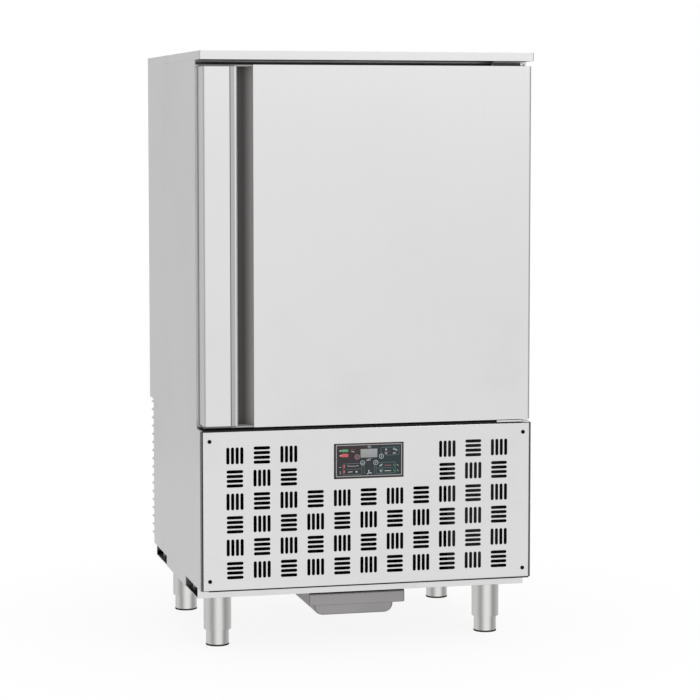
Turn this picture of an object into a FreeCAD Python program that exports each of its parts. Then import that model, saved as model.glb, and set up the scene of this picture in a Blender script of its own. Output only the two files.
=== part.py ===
import FreeCAD, Part
import math
import os

# Free-standing blast chiller on four legs: an insulated cabinet with one door hung on its right side,
# above a machine compartment with a slotted front panel. Millimetres. X runs to the right and Y to the
# back as seen by someone facing the door, Z runs up. The origin is on the floor, in the middle of the
# width and of the depth.

V = FreeCAD.Vector

# ---- Overall size ----
WIDTH = 750.0
DEPTH = 700.0
LEG_HEIGHT = 124.0
BASE_HEIGHT = 24.0
COMPARTMENT_HEIGHT = 352.0
CABINET_HEIGHT = 801.0
TOP_HEIGHT = 19.0

# ---- Sheet metal and insulation ----
SHEET = 1.0
BASE_SHEET = 1.5
WALL = 60.0
COVE_RADIUS = 15.0
FRAME_CORNER = 3.0
STEP_RADIUS = 9.0
SIDE_FLANGE = 30.0
TOP_RETURN = 14.0
BREAK_WIDTH = 12.0
BREAK_DEPTH = 6.0

# ---- Planes along Y, as set-backs from the door's front or the back ----
DOOR_THICKNESS = 50.0
GASKET_GAP = 10.0
TOP_SETBACK = 3.0
PANEL_SETBACK = 8.0
SIDE_SETBACK = 18.0
COMPARTMENT_SETBACK = 55.0
BASE_SETBACK = 85.0

# ---- Base tray, legs and feet ----
CHANNEL_WIDTH = 150.0
LEG_SIDE_INSET = 62.0
LEG_FRONT_INSET = 92.0
LEG_REAR_INSET = 55.0
SLEEVE_RADIUS = 31.0
SLEEVE_WALL = 5.0
SLEEVE_NUT = 25.0
SLEEVE_BOTTOM = 36.0
LEG_PLATE = 100.0
LEG_PLATE_THICKNESS = 3.0
FOOT_TOP = 72.0
STEM_RADIUS = 8.0
STEM_TOP = 124.0
PAD_HEIGHT = 3.0
PAD_SPIGOT = 6.0
SLIDE_GAP = 0.3
THREAD_GAP = 0.1

# ---- Door ----
DOOR_SIDE_INSET = 6.0
DOOR_GAP_TOP = 11.0
DOOR_GAP_BOTTOM = 7.0
DOOR_EDGE_RADIUS = 6.0
STRIP_WIDTH = 59.0
GROOVE = 1.5
LIP_RADIUS = 6.5
SCOOP_DEPTH = 30.0
SCOOP_FLOOR = 11.0
SCOOP_RADIUS = 26.0
HANDLE_TONGUE = 18.0
HANDLE_BACK = 38.0
CAP_HEIGHT = 4.0
DISH_INSET = 26.0
DISH_DEPTH = 16.0
DISH_TAPER = 12.0
GASKET_WIDTH = 24.0
GASKET_EDGE = 19.0
GASKET_CLEARANCE = 0.3

# ---- Door hinges ----
PIVOT_SIDE_INSET = 25.0
PIVOT_FROM_FRONT = 25.0
PIN_RADIUS = 5.0
PIN_LENGTH = 22.0
RUN_CLEARANCE = 0.05
BUSH_RADIUS = 8.0
BUSH_LENGTH = 22.0
BUSH_FLANGE = 1.5
BRACKET_THICKNESS = 4.0
BRACKET_NOSE = 10.0
BRACKET_LEAF = 80.0
BRACKET_LEAF_THICKNESS = 3.0
LOWER_PLATE_WIDTH = 67.0

# ---- Tray racks in the chamber ----
POST_THICKNESS = 10.0
POST_DEPTH = 14.0
RUNNER_THICKNESS = 1.5
RUNNER_DEPTH = 24.0
RUNNER_HEIGHT = 12.0
RUNNER_LENGTH = 400.0
RUNNER_PITCH = 62.0
RUNNER_FIRST = 45.0
RUNNER_HEADROOM = 60.0
TRAY_FRONT_GAP = 20.0

# ---- Evaporator, baffle and fans ----
EVAPORATOR_ZONE = 140.0
BAFFLE_SIDE_GAP = 40.0
BAFFLE_END_GAP = 36.0
FAN_RADIUS = 118.0
FAN_TIP_GAP = 8.0
FAN_SPACING = 300.0
FAN_HUB_RADIUS = 28.0
FAN_WIDTH = 26.0
FAN_BLADES = 5
BLADE_THICKNESS = 2.0
SHAFT_RADIUS = 4.0
MOTOR_RADIUS = 38.0
MOTOR_LENGTH = 38.0
MOTOR_BAR = 24.0
MOTOR_BAR_THICKNESS = 3.0
GUARD_WIRE = 4.0
GUARD_STANDOFF = 8.0
GUARD_RINGS = 3
EVAPORATOR_DEPTH = 40.0
EVAPORATOR_SIDE_GAP = 50.0
FIN_PITCH = 24.0
FIN_GROOVE = 16.0
LIQUID_RADIUS = 5.0
SUCTION_RADIUS = 8.0

# ---- Drain and condensate pan ----
DRAIN_RADIUS = 10.0
DRAIN_WALL = 1.5
DRAIN_FROM_FRONT = 185.0
PAN_SETBACK = 113.0
PAN_LENGTH = 330.0
PAN_RIM_WIDTH = 222.0
PAN_BODY_WIDTH = 184.0
PAN_BODY_SETBACK = 32.0
PAN_WALL = 2.0
PAN_RIM_HEIGHT = 27.0
PAN_BODY_HEIGHT = 29.0
PAN_CORNER = 20.0
PAN_TOP_GAP = 13.0
RAIL_THICKNESS = 1.2
RAIL_LIP = 8.0

# ---- Slotted front panel and control panel ----
PANEL_SIDE_INSET = 3.0
PANEL_GAP = 1.0
SLOT_LENGTH = 36.0
SLOT_WIDTH = 6.2
SLOT_STEP = 10.3
SLOTS_PER_CELL = 4
CELL_PITCH_X = 60.0
CELL_PITCH_Z = 50.4
GRILLE_SIDE_MARGIN = 50.0
GRILLE_TOP_MARGIN = 35.5
GRILLE_BOTTOM_MARGIN = 26.0
SCREW_SIDE = 16.3
SCREW_END = 22.0
SCREW_HEAD_RADIUS = 4.4
SCREW_HEAD_HEIGHT = 2.2
SCREW_RADIUS = 2.5
SCREW_LENGTH = 12.0
SCREW_HOLE_GAP = 0.3
BEZEL_WIDTH = 156.0
BEZEL_HEIGHT = 77.0
BEZEL_TOP = 36.0
BEZEL_RADIUS = 6.0
BEZEL_PROUD = 3.0
BEZEL_RIM = 5.0
BEZEL_SEAT = 3.0
BEZEL_BOX_DEPTH = 40.0
CONTROL_CLEAR_X = 40.0
CONTROL_CLEAR_Z = 14.0
OVERLAY_RECESS = 1.0
OVERLAY_THICKNESS = 1.5
DISPLAY_WIDTH = 38.0
DISPLAY_HEIGHT = 19.0
DISPLAY_RISE = 16.5
KEY_RADIUS = 6.0
KEY_FLANGE = 1.2
KEY_PROUD = 0.6
KEY_GAP = 0.3
KEY_PLACES = ((-27.0, 9.0), (28.0, 9.0), (-14.5, -4.5), (15.5, -4.5))

# ---- Machine compartment ----
CONDENSER_HEIGHT = 320.0
CONDENSER_DEPTH = 50.0
CONDENSER_SIDE_GAP = 40.0
SERVICE_WIDTH = 184.0
CONDENSER_GAP = 4.0
SHROUD_DEPTH = 40.0
SHROUD_SIDE_GAP = 90.0
CONDENSER_FAN_RADIUS = 130.0
COMPRESSOR_SIDE_INSET = 204.0
COMPRESSOR_REAR_INSET = 235.0
COMPRESSOR_RADIUS = 86.0
COMPRESSOR_HEIGHT = 215.0
COMPRESSOR_PLATE = 190.0
COMPRESSOR_PLATE_THICKNESS = 4.0
COMPRESSOR_SEAM = 4.0
TERMINAL_WIDTH = 52.0
TERMINAL_DEPTH = 26.0
STUB_LENGTH = 8.0
MOUNT_RADIUS = 14.0
MOUNT_HEIGHT = 14.0
RECEIVER_SIDE_GAP = 60.0
RECEIVER_REAR_GAP = 55.0
RECEIVER_FOOT = 8.0
RECEIVER_RADIUS = 32.0
RECEIVER_HEIGHT = 150.0
DRIER_RADIUS = 20.0
DRIER_LENGTH = 110.0
BOX_WIDTH = 174.0
BOX_DEPTH = 85.0
BOX_HEIGHT = 312.0
BOX_FLOOR_GAP = 8.0
BOX_LID = 12.0
BOX_LID_LAP = 3.0
PIPE_BEND = 18.0
UPPER_PIPE_DROP = 80.0
DISCHARGE_RISE = 202.0
LIQUID_RISE = 52.0
SUCTION_RISE = 152.0

# ---- Louvred rear cover and cable gland ----
LOUVRE_PITCH = 20.0
LOUVRE_DEPTH = 34.0
LOUVRE_HEIGHT = 9.0
LOUVRE_TOP_MARGIN = 1.0
LOUVRE_BOTTOM_MARGIN = 22.0
LOUVRE_MIDDLE = 20.0
GLAND_STRIP = 75.0
GLAND_RADIUS = 11.0
GLAND_BORE = 5.0
GLAND_LENGTH = 16.0
GLAND_RISE = 52.0

# ---- Worked-out planes ----
HALF_WIDTH = WIDTH / 2
FRONT = -DEPTH / 2
REAR = DEPTH / 2
TOP_FRONT = FRONT + TOP_SETBACK
PANEL_FRONT = FRONT + PANEL_SETBACK
SIDE_FRONT = FRONT + SIDE_SETBACK
CABINET_FRONT = FRONT + DOOR_THICKNESS + GASKET_GAP
COMPARTMENT_REAR = REAR - COMPARTMENT_SETBACK
BASE_FRONT = CABINET_FRONT + SHEET
BASE_REAR = REAR - BASE_SETBACK
BASE_BOTTOM = LEG_HEIGHT
BASE_TOP = BASE_BOTTOM + BASE_HEIGHT
CABINET_BOTTOM = BASE_TOP + COMPARTMENT_HEIGHT
CABINET_TOP = CABINET_BOTTOM + CABINET_HEIGHT
HEIGHT = CABINET_TOP + TOP_HEIGHT
CASING_HALF = HALF_WIDTH - SHEET
CHAMBER_HALF = HALF_WIDTH - WALL
CHAMBER_FLOOR = CABINET_BOTTOM + WALL
CHAMBER_TOP = CABINET_TOP - WALL
CHAMBER_BACK = REAR - WALL
DOOR_HALF = HALF_WIDTH - DOOR_SIDE_INSET
DOOR_BOTTOM = CABINET_BOTTOM + DOOR_GAP_BOTTOM
DOOR_TOP = CABINET_TOP - DOOR_GAP_TOP
DOOR_BACK = FRONT + DOOR_THICKNESS
PANEL_HALF = HALF_WIDTH - PANEL_SIDE_INSET
PANEL_TOP = CABINET_BOTTOM - PANEL_GAP
HANDLE_LEFT = -DOOR_HALF + STRIP_WIDTH
HANDLE_LIP = HANDLE_LEFT + GROOVE + 2 * LIP_RADIUS
SCOOP_START = HANDLE_LIP + SCOOP_FLOOR
HANDLE_RIGHT = SCOOP_START + SCOOP_RADIUS
PIVOT = V(HALF_WIDTH - PIVOT_SIDE_INSET, FRONT + PIVOT_FROM_FRONT, 0)
BAFFLE_FRONT = CHAMBER_BACK - EVAPORATOR_ZONE
BAFFLE_HALF = CHAMBER_HALF - BAFFLE_SIDE_GAP
EVAPORATOR_BACK = CHAMBER_BACK - 4 * SHEET
EVAPORATOR_FRONT = EVAPORATOR_BACK - EVAPORATOR_DEPTH
DRAIN = V(0, CABINET_FRONT + DRAIN_FROM_FRONT, 0)
LIQUID_PIPE = V(-110, EVAPORATOR_BACK - EVAPORATOR_DEPTH / 2, 0)
SUCTION_PIPE = V(-80, LIQUID_PIPE.y, 0)
BEZEL_Z = PANEL_TOP - BEZEL_TOP - BEZEL_HEIGHT / 2
OVERLAY_FRONT = PANEL_FRONT - BEZEL_PROUD + OVERLAY_RECESS
CONDENSER_FRONT = BASE_FRONT + CONDENSER_GAP
CONDENSER_BACK = CONDENSER_FRONT + CONDENSER_DEPTH
CONDENSER_LEFT = -CASING_HALF + CONDENSER_SIDE_GAP
CONDENSER_RIGHT = CASING_HALF - SERVICE_WIDTH
SHROUD_RIGHT = CONDENSER_RIGHT - SHROUD_SIDE_GAP
SHROUD_X = (CONDENSER_LEFT + SHROUD_RIGHT) / 2
SHROUD_Z = BASE_TOP + CONDENSER_HEIGHT / 2
SHROUD_BACK = CONDENSER_BACK + SHROUD_DEPTH
COMPRESSOR_X = CASING_HALF - COMPRESSOR_SIDE_INSET
COMPRESSOR_Y = COMPARTMENT_REAR - COMPRESSOR_REAR_INSET
RECEIVER_X = CONDENSER_RIGHT - RECEIVER_SIDE_GAP
RECEIVER_Y = SHROUD_BACK + RECEIVER_REAR_GAP
DRIER_X = min(0.0, (LIQUID_PIPE.x + RECEIVER_X) / 2)
PIPE_LEVEL = CABINET_BOTTOM - UPPER_PIPE_DROP
PAN_FRONT = FRONT + PAN_SETBACK
PAN_TOP = BASE_BOTTOM - PAN_TOP_GAP
CHANNEL_TOP = BASE_TOP - BASE_SHEET
FRONT_CHANNEL = (BASE_FRONT, BASE_FRONT + CHANNEL_WIDTH)
REAR_CHANNEL = (BASE_REAR - CHANNEL_WIDTH, BASE_REAR)
LEG_X = HALF_WIDTH - LEG_SIDE_INSET
LEG_Y = (FRONT_CHANNEL[0] + LEG_FRONT_INSET, REAR_CHANNEL[1] - LEG_REAR_INSET)


# ---- Shape helpers ----
def box(x, y, z):
    """Block between the pairs x, y and z."""
    return Part.makeBox(x[1] - x[0], y[1] - y[0], z[1] - z[0], V(x[0], y[0], z[0]))


def rod(radius, start, end):
    """Cylinder from one point to another."""
    along = end - start
    return Part.makeCylinder(radius, along.Length, start, along)


def tube(outer, inner, start, end):
    return rod(outer, start, end).cut(rod(inner, start, end))


def round_edges(shape, radius, wanted):
    """Fillet the straight edges whose middle and direction satisfy wanted."""
    chosen = []
    for edge in shape.Edges:
        if not isinstance(edge.Curve, Part.Line):
            continue
        direction = edge.Vertexes[1].Point - edge.Vertexes[0].Point
        if wanted(edge.CenterOfMass, direction):
            chosen.append(edge)
    return shape.makeFillet(radius, chosen)


def along_y(_, direction):
    return abs(direction.y) > 0.5 * direction.Length


def face_of(start, *steps):
    """Flat face in X and Y. A step is the next point, or two points for an arc through one to the other."""
    edges = []
    here = V(start[0], start[1], 0)
    for step in steps + (start,):
        if isinstance(step[0], tuple):
            end = V(step[1][0], step[1][1], 0)
            middle = V(step[0][0], step[0][1], 0)
            edges.append(Part.Arc(here, middle, end).toShape())
        else:
            end = V(step[0], step[1], 0)
            edges.append(Part.LineSegment(here, end).toShape())
        here = end
    return Part.Face(Part.Wire(edges))


def prism_z(face, z):
    """Extrude a face drawn in X and Y over the pair z."""
    solid = face.extrude(V(0, 0, z[1] - z[0]))
    solid.translate(V(0, 0, z[0]))
    return solid


def prism_x(face, x):
    """Extrude over the pair x a face whose two coordinates stand for Y and Z."""
    solid = face.extrude(V(0, 0, x[1] - x[0]))
    solid.rotate(V(0, 0, 0), V(1, 1, 1), 120)
    solid.translate(V(x[0], 0, 0))
    return solid


def prism_y(face, y):
    """Extrude over the pair y a face whose two coordinates stand for X and Z."""
    solid = face.extrude(V(0, 0, y[1] - y[0]))
    solid.rotate(V(0, 0, 0), V(1, 0, 0), 90)
    solid.translate(V(0, y[1], 0))
    return solid


def frustum_y(half_width, z, y, taper):
    """Block between the pairs z and y that narrows by taper on all four sides towards the end of y."""
    wires = []
    for place, shrink in ((y[0], 0), (y[1], taper)):
        left, right = -half_width + shrink, half_width - shrink
        low, high = z[0] + shrink, z[1] - shrink
        lower = [V(left, place, low), V(right, place, low)]
        upper = [V(right, place, high), V(left, place, high)]
        wires.append(Part.makePolygon(lower + upper + lower[:1]))
    return Part.makeLoft(wires, True, True)


def mirrored(shape):
    return shape.mirror(V(0, 0, 0), V(1, 0, 0))


def fused(shapes):
    return shapes[0].fuse(shapes[1:]).removeSplitter()


def pipe(radius, points):
    """Round pipe through the points, with an arc of PIPE_BEND at each corner."""
    edges = []
    here = points[0]
    for before, corner, after in zip(points, points[1:], points[2:]):
        back = (before - corner).normalize()
        onward = (after - corner).normalize()
        start = corner + back * PIPE_BEND
        end = corner + onward * PIPE_BEND
        centre = corner + (back + onward) * PIPE_BEND
        middle = centre + (corner - centre).normalize() * PIPE_BEND
        edges.append(Part.LineSegment(here, start).toShape())
        edges.append(Part.Arc(start, middle, end).toShape())
        here = end
    edges.append(Part.LineSegment(here, points[-1]).toShape())
    first = points[1] - points[0]
    section = Part.Wire(Part.makeCircle(radius, points[0], first))
    return Part.Wire(edges).makePipeShell([section], True, True)


# ---- Casing ----
def top_cover():
    outer = box((-HALF_WIDTH, HALF_WIDTH), (TOP_FRONT, REAR), (CABINET_TOP, HEIGHT))
    outer = round_edges(outer, FRAME_CORNER, lambda p, d: abs(d.z) > 1 and p.y < 0)
    inner_y = (TOP_FRONT + SHEET, REAR - SHEET)
    inner = box((-CASING_HALF, CASING_HALF), inner_y, (CABINET_TOP, HEIGHT - SHEET))
    return_y = (TOP_FRONT + SHEET, TOP_FRONT + SHEET + TOP_RETURN)
    front_return = box((-CASING_HALF, CASING_HALF), return_y, (CABINET_TOP, CABINET_TOP + SHEET))
    return fused([outer.cut(inner), front_return])


def side_panel_left():
    """Sheet stepped forward beside the front panel and cut back below the cabinet, with a skirt welded on.

    The skirt fills the edge between the base channels. A flange folded inwards at the sheet's lower front
    edge takes the front panel and its screws.
    """
    corner = STEP_RADIUS * (1 - math.sqrt(0.5))
    step_middle = (CABINET_FRONT - corner, CABINET_BOTTOM + corner)
    face = face_of(
        (CABINET_FRONT, CABINET_TOP),
        (REAR - SHEET, CABINET_TOP),
        (REAR - SHEET, CABINET_BOTTOM),
        (COMPARTMENT_REAR, CABINET_BOTTOM),
        (COMPARTMENT_REAR, BASE_TOP),
        (SIDE_FRONT, BASE_TOP),
        (SIDE_FRONT, CABINET_BOTTOM),
        (CABINET_FRONT - STEP_RADIUS, CABINET_BOTTOM),
        (step_middle, (CABINET_FRONT, CABINET_BOTTOM + STEP_RADIUS)),
    )
    sheet = prism_x(face, (-HALF_WIDTH, -CASING_HALF))
    flange_x = (-CASING_HALF, -CASING_HALF + SIDE_FLANGE)
    flange = box(flange_x, (SIDE_FRONT, SIDE_FRONT + SHEET), (BASE_TOP, CABINET_BOTTOM))
    skirt_y = (FRONT_CHANNEL[1], REAR_CHANNEL[0])
    skirt = box((-HALF_WIDTH, -CASING_HALF), skirt_y, (BASE_BOTTOM, BASE_TOP))
    return Part.makeCompound([fused([sheet, flange]).cut(screw_holes(SIDE_FRONT)), skirt])


def side_panel_right():
    return mirrored(side_panel_left())


def rear_casing():
    """Back sheet of the cabinet, folded forward under it as far as the front panel."""
    x = (-CASING_HALF, CASING_HALF)
    back = box(x, (REAR - 2 * SHEET, REAR - SHEET), (CABINET_BOTTOM, CABINET_TOP))
    under = box(x, (SIDE_FRONT, REAR - SHEET), (CABINET_BOTTOM, CABINET_BOTTOM + SHEET))
    return fused([back, under]).cut(pipe_holes(SHEET))


def pipe_holes(clearance):
    """Cutters for what passes through the cabinet's floor."""
    holes = []
    pipes = ((DRAIN, DRAIN_RADIUS), (LIQUID_PIPE, LIQUID_RADIUS), (SUCTION_PIPE, SUCTION_RADIUS))
    for place, radius in pipes:
        low = V(place.x, place.y, CABINET_BOTTOM - 1)
        high = V(place.x, place.y, CHAMBER_FLOOR + BAFFLE_END_GAP + 2 * SHEET)
        holes.append(rod(radius + clearance, low, high))
    return holes


def louvre(left, right, z):
    """Pressed hood over a slot: a sloping blade with closed cheeks, open downwards."""
    seat = COMPARTMENT_REAR + SHEET
    blade = face_of((seat, z), (seat, z + LOUVRE_HEIGHT), (seat + LOUVRE_DEPTH, z))
    inner_top = (seat - SHEET, z + LOUVRE_HEIGHT - SHEET)
    hollow = face_of((seat - SHEET, z), inner_top, (seat + LOUVRE_DEPTH - 2 * SHEET, z))
    return prism_x(blade, (left, right)), prism_x(hollow, (left + SHEET, right - SHEET))


def rear_louvre_panel():
    """Removable back of the machine compartment, laid over the rear edges of the sides and the floor."""
    y = (COMPARTMENT_REAR, COMPARTMENT_REAR + SHEET)
    plate = box((-HALF_WIDTH, HALF_WIDTH), y, (CHANNEL_TOP, CABINET_BOTTOM))
    free = COMPARTMENT_HEIGHT - LOUVRE_TOP_MARGIN - LOUVRE_BOTTOM_MARGIN - LOUVRE_HEIGHT
    rows = int(free / LOUVRE_PITCH) + 1
    left = -HALF_WIDTH
    right = CASING_HALF - GLAND_STRIP
    middle = (left + right) / 2
    columns = ((left, middle - LOUVRE_MIDDLE / 2), (middle + LOUVRE_MIDDLE / 2, right))
    hoods = []
    hollows = []
    for row in range(rows):
        z = BASE_TOP + LOUVRE_BOTTOM_MARGIN + row * LOUVRE_PITCH
        for start, end in columns:
            hood, hollow = louvre(start, end, z)
            hoods.append(hood)
            hollows.append(hollow)
    gland = gland_axis(COMPARTMENT_REAR, SHEET)
    hole = rod(GLAND_RADIUS - 3, gland[0], gland[1])
    return plate.fuse(hoods).cut(hollows + [hole]).removeSplitter()


def gland_axis(start, length):
    place = V(CASING_HALF - GLAND_STRIP / 2, start, BASE_TOP + GLAND_RISE)
    return place, place + V(0, length, 0)


def cable_gland():
    """Gland body and its lock nut, clamped on the rear sheet, with the bore for a supply cable."""
    outside = gland_axis(COMPARTMENT_REAR + SHEET, GLAND_LENGTH)
    inside = gland_axis(COMPARTMENT_REAR - 6, 6)
    through = gland_axis(COMPARTMENT_REAR - 6, GLAND_LENGTH + 6 + SHEET)
    body = fused([rod(GLAND_RADIUS, *outside), rod(GLAND_RADIUS - 3, *through), rod(GLAND_RADIUS, *inside)])
    return body.cut(rod(GLAND_BORE, *through))


def compartment_floor():
    """Sheet under the machinery, from the front panel to the rear cover."""
    y = (SIDE_FRONT, COMPARTMENT_REAR)
    floor = box((-CASING_HALF, CASING_HALF), y, (CHANNEL_TOP, BASE_TOP))
    low = V(DRAIN.x, DRAIN.y, CHANNEL_TOP)
    return floor.cut(rod(DRAIN_RADIUS + SHEET, low, V(DRAIN.x, DRAIN.y, BASE_TOP)))


def base_channels():
    """Two channels across the width, each welded from three strips and closed above by the floor.

    They are open at both ends, and their lower strips are holed for the leg stems.
    """
    x = (-CASING_HALF, CASING_HALF)
    wall_z = (BASE_BOTTOM, CHANNEL_TOP)
    web_z = (BASE_BOTTOM, BASE_BOTTOM + BASE_SHEET)
    holes = []
    for x_leg, y_leg in leg_places():
        low = V(x_leg, y_leg, BASE_BOTTOM - 1)
        holes.append(rod(STEM_RADIUS + 1, low, V(x_leg, y_leg, BASE_BOTTOM + 2 * BASE_SHEET)))
    strips = []
    for start, end in (FRONT_CHANNEL, REAR_CHANNEL):
        strips.append(box(x, (start, start + BASE_SHEET), wall_z))
        strips.append(box(x, (start + BASE_SHEET, end - BASE_SHEET), web_z).cut(holes))
        strips.append(box(x, (end - BASE_SHEET, end), wall_z))
    return Part.makeCompound(strips)


def front_frame():
    """Stainless face of the cabinet around the chamber opening."""
    y = (CABINET_FRONT, BASE_FRONT)
    plate = box((-CASING_HALF, CASING_HALF), y, (CABINET_BOTTOM + SHEET, CABINET_TOP))
    half = CHAMBER_HALF + BREAK_WIDTH
    z = (CHAMBER_FLOOR - BREAK_WIDTH, CHAMBER_TOP + BREAK_WIDTH)
    return plate.cut(box((-half, half), y, z))


def break_block():
    """Space of the plastic ring, its opening included."""
    half = CHAMBER_HALF + BREAK_WIDTH
    z = (CHAMBER_FLOOR - BREAK_WIDTH, CHAMBER_TOP + BREAK_WIDTH)
    return box((-half, half), (CABINET_FRONT, BASE_FRONT + BREAK_DEPTH), z)


def thermal_break():
    """Plastic ring between the stainless face and the chamber liner, whose edge it covers."""
    return break_block().cut(chamber_block(-SHEET, CABINET_FRONT - 1))


def chamber_block(grow, front):
    """Chamber space with coved corners, grown by grow, from the plane front to the back."""
    x = (-CHAMBER_HALF - grow, CHAMBER_HALF + grow)
    y = (CABINET_FRONT - 2 * COVE_RADIUS, CHAMBER_BACK + grow)
    block = box(x, y, (CHAMBER_FLOOR - grow, CHAMBER_TOP + grow))
    block = round_edges(block, COVE_RADIUS + grow, along_y)
    keep_z = (CHAMBER_FLOOR - grow - 1, CHAMBER_TOP + grow + 1)
    return block.common(box((x[0] - 1, x[1] + 1), (front, y[1] + 1), keep_z))


def chamber_liner():
    front = BASE_FRONT + BREAK_DEPTH
    return chamber_block(SHEET, front).cut([chamber_block(0, front - 1)] + pipe_holes(SHEET))


def cabinet_insulation():
    """Foam between the casing and the liner."""
    z = (CABINET_BOTTOM + SHEET, CABINET_TOP)
    foam = box((-CASING_HALF, CASING_HALF), (BASE_FRONT, REAR - 2 * SHEET), z)
    return foam.cut([chamber_block(SHEET, CABINET_FRONT), break_block()] + pipe_holes(SHEET))


# ---- Inside the chamber ----
def rack_posts():
    """Two upright posts against each side wall of the chamber."""
    start = CABINET_FRONT + TRAY_FRONT_GAP
    z = (CHAMBER_FLOOR + COVE_RADIUS, CHAMBER_TOP - RUNNER_HEADROOM / 2)
    posts = []
    for y in (start + 2 * POST_DEPTH, start + RUNNER_LENGTH - 3 * POST_DEPTH):
        post = box((-CHAMBER_HALF, -CHAMBER_HALF + POST_THICKNESS), (y, y + POST_DEPTH), z)
        posts.extend([post, mirrored(post)])
    return Part.makeCompound(posts)


def tray_runners():
    """Pairs of folded angles across the posts, one pair for each tray."""
    face = -CHAMBER_HALF + POST_THICKNESS
    y = (CABINET_FRONT + TRAY_FRONT_GAP, CABINET_FRONT + TRAY_FRONT_GAP + RUNNER_LENGTH)
    levels = int((CHAMBER_TOP - CHAMBER_FLOOR - RUNNER_FIRST - RUNNER_HEADROOM) / RUNNER_PITCH) + 1
    runners = []
    for level in range(levels):
        z = CHAMBER_FLOOR + RUNNER_FIRST + level * RUNNER_PITCH
        angle = face_of(
            (face, z),
            (face + RUNNER_DEPTH, z),
            (face + RUNNER_DEPTH, z + RUNNER_THICKNESS),
            (face + RUNNER_THICKNESS, z + RUNNER_THICKNESS),
            (face + RUNNER_THICKNESS, z + RUNNER_HEIGHT),
            (face, z + RUNNER_HEIGHT),
        )
        runner = prism_y(angle, y)
        runners.extend([runner, mirrored(runner)])
    return Part.makeCompound(runners)


def fan_centres():
    """Centres of the two chamber fans, on the front face of the baffle."""
    middle = (CHAMBER_FLOOR + CHAMBER_TOP) / 2
    lower = V(0, BAFFLE_FRONT, middle - FAN_SPACING / 2)
    upper = V(0, BAFFLE_FRONT, middle + FAN_SPACING / 2)
    return lower, upper


def fan_baffle():
    """Sheet before the evaporator, flanged back to the rear wall at both ends, with a hole for each fan."""
    z = (CHAMBER_FLOOR + BAFFLE_END_GAP, CHAMBER_TOP - BAFFLE_END_GAP)
    x = (-BAFFLE_HALF, BAFFLE_HALF)
    outer = box(x, (BAFFLE_FRONT, CHAMBER_BACK), z)
    inner = box(x, (BAFFLE_FRONT + SHEET, CHAMBER_BACK), (z[0] + SHEET, z[1] - SHEET))
    radius = FAN_RADIUS + FAN_TIP_GAP
    holes = [rod(radius, centre - V(0, 1, 0), centre + V(0, 2 * SHEET, 0)) for centre in fan_centres()]
    return outer.cut([inner] + holes + pipe_holes(SHEET))


def fan_guard(centre):
    """Rings and spokes in front of a fan, on four stand-offs."""
    y = centre.y - GUARD_STANDOFF
    reach = FAN_RADIUS + FAN_TIP_GAP + 3 * GUARD_WIRE
    back = V(0, GUARD_WIRE, 0)
    front = V(centre.x, y, centre.z)
    pieces = []
    for ring in range(GUARD_RINGS):
        outer = reach - ring * (reach - FAN_HUB_RADIUS) / GUARD_RINGS
        pieces.append(tube(outer, outer - GUARD_WIRE, front, front + back))
    half_wire = GUARD_WIRE / 2
    spoke_z = (centre.z - half_wire, centre.z + half_wire)
    leg_z = (centre.z - GUARD_WIRE, centre.z + GUARD_WIRE)
    for turn in range(4):
        spoke = box((centre.x, centre.x + reach - half_wire), (y, y + GUARD_WIRE), spoke_z)
        leg = box((centre.x + reach - GUARD_WIRE, centre.x + reach), (y, centre.y), leg_z)
        for piece in (spoke, leg):
            piece.rotate(centre, V(0, 1, 0), 90 * turn + 45)
            pieces.append(piece)
    return fused(pieces)


def fan_guards():
    return Part.makeCompound([fan_guard(centre) for centre in fan_centres()])


def fan_blade(radius):
    """Twisted blade: steep at the hub, flatter and wider at the tip."""
    wires = []
    for reach, chord, pitch in ((FAN_HUB_RADIUS - 4, 34, 42), (radius + 2, 84, 17)):
        half = chord / 2
        thin = BLADE_THICKNESS / 2
        low = [V(reach, -thin, -half), V(reach, thin, -half)]
        high = [V(reach, thin, half), V(reach, -thin, half)]
        wire = Part.makePolygon(low + high + low[:1])
        wire.rotate(V(0, 0, 0), V(1, 0, 0), pitch)
        wires.append(wire)
    return Part.makeLoft(wires, True, True)


def fan_rotor(centre, radius):
    """Axial fan on the Y axis, from the centre towards the back, bored for its motor shaft."""
    hub = rod(FAN_HUB_RADIUS, V(0, -FAN_WIDTH / 2, 0), V(0, FAN_WIDTH / 2, 0))
    blades = []
    for turn in range(FAN_BLADES):
        blade = fan_blade(radius)
        blade.rotate(V(0, 0, 0), V(0, 1, 0), turn * 360 / FAN_BLADES)
        blades.append(blade)
    disc = rod(radius, V(0, -FAN_WIDTH, 0), V(0, FAN_WIDTH, 0))
    bore = rod(SHAFT_RADIUS + RUN_CLEARANCE, V(0, -FAN_WIDTH / 2 + 4, 0), V(0, FAN_WIDTH / 2, 0))
    rotor = hub.fuse(blades).common(disc).cut(bore)
    rotor.translate(V(centre.x, centre.y + FAN_WIDTH / 2, centre.z))
    return rotor


def fan_motor(centre, reach, bar_y):
    """Motor on a flat bar behind the rotor; the bar's two legs stand on the plate at centre.y."""
    z = (centre.z - MOTOR_BAR / 2, centre.z + MOTOR_BAR / 2)
    face = centre.y + bar_y
    bar = box((centre.x - reach, centre.x + reach), (face, face + MOTOR_BAR_THICKNESS), z)
    pieces = [bar]
    for side in (-1, 1):
        edges = sorted((centre.x + side * reach, centre.x + side * (reach - MOTOR_BAR_THICKNESS)))
        pieces.append(box(edges, (centre.y, face), z))
    body_start = V(centre.x, face + MOTOR_BAR_THICKNESS, centre.z)
    pieces.append(rod(MOTOR_RADIUS, body_start, body_start + V(0, MOTOR_LENGTH, 0)))
    shaft_end = V(centre.x, face - FAN_WIDTH, centre.z)
    pieces.append(rod(SHAFT_RADIUS, shaft_end, body_start))
    return fused(pieces)


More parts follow.
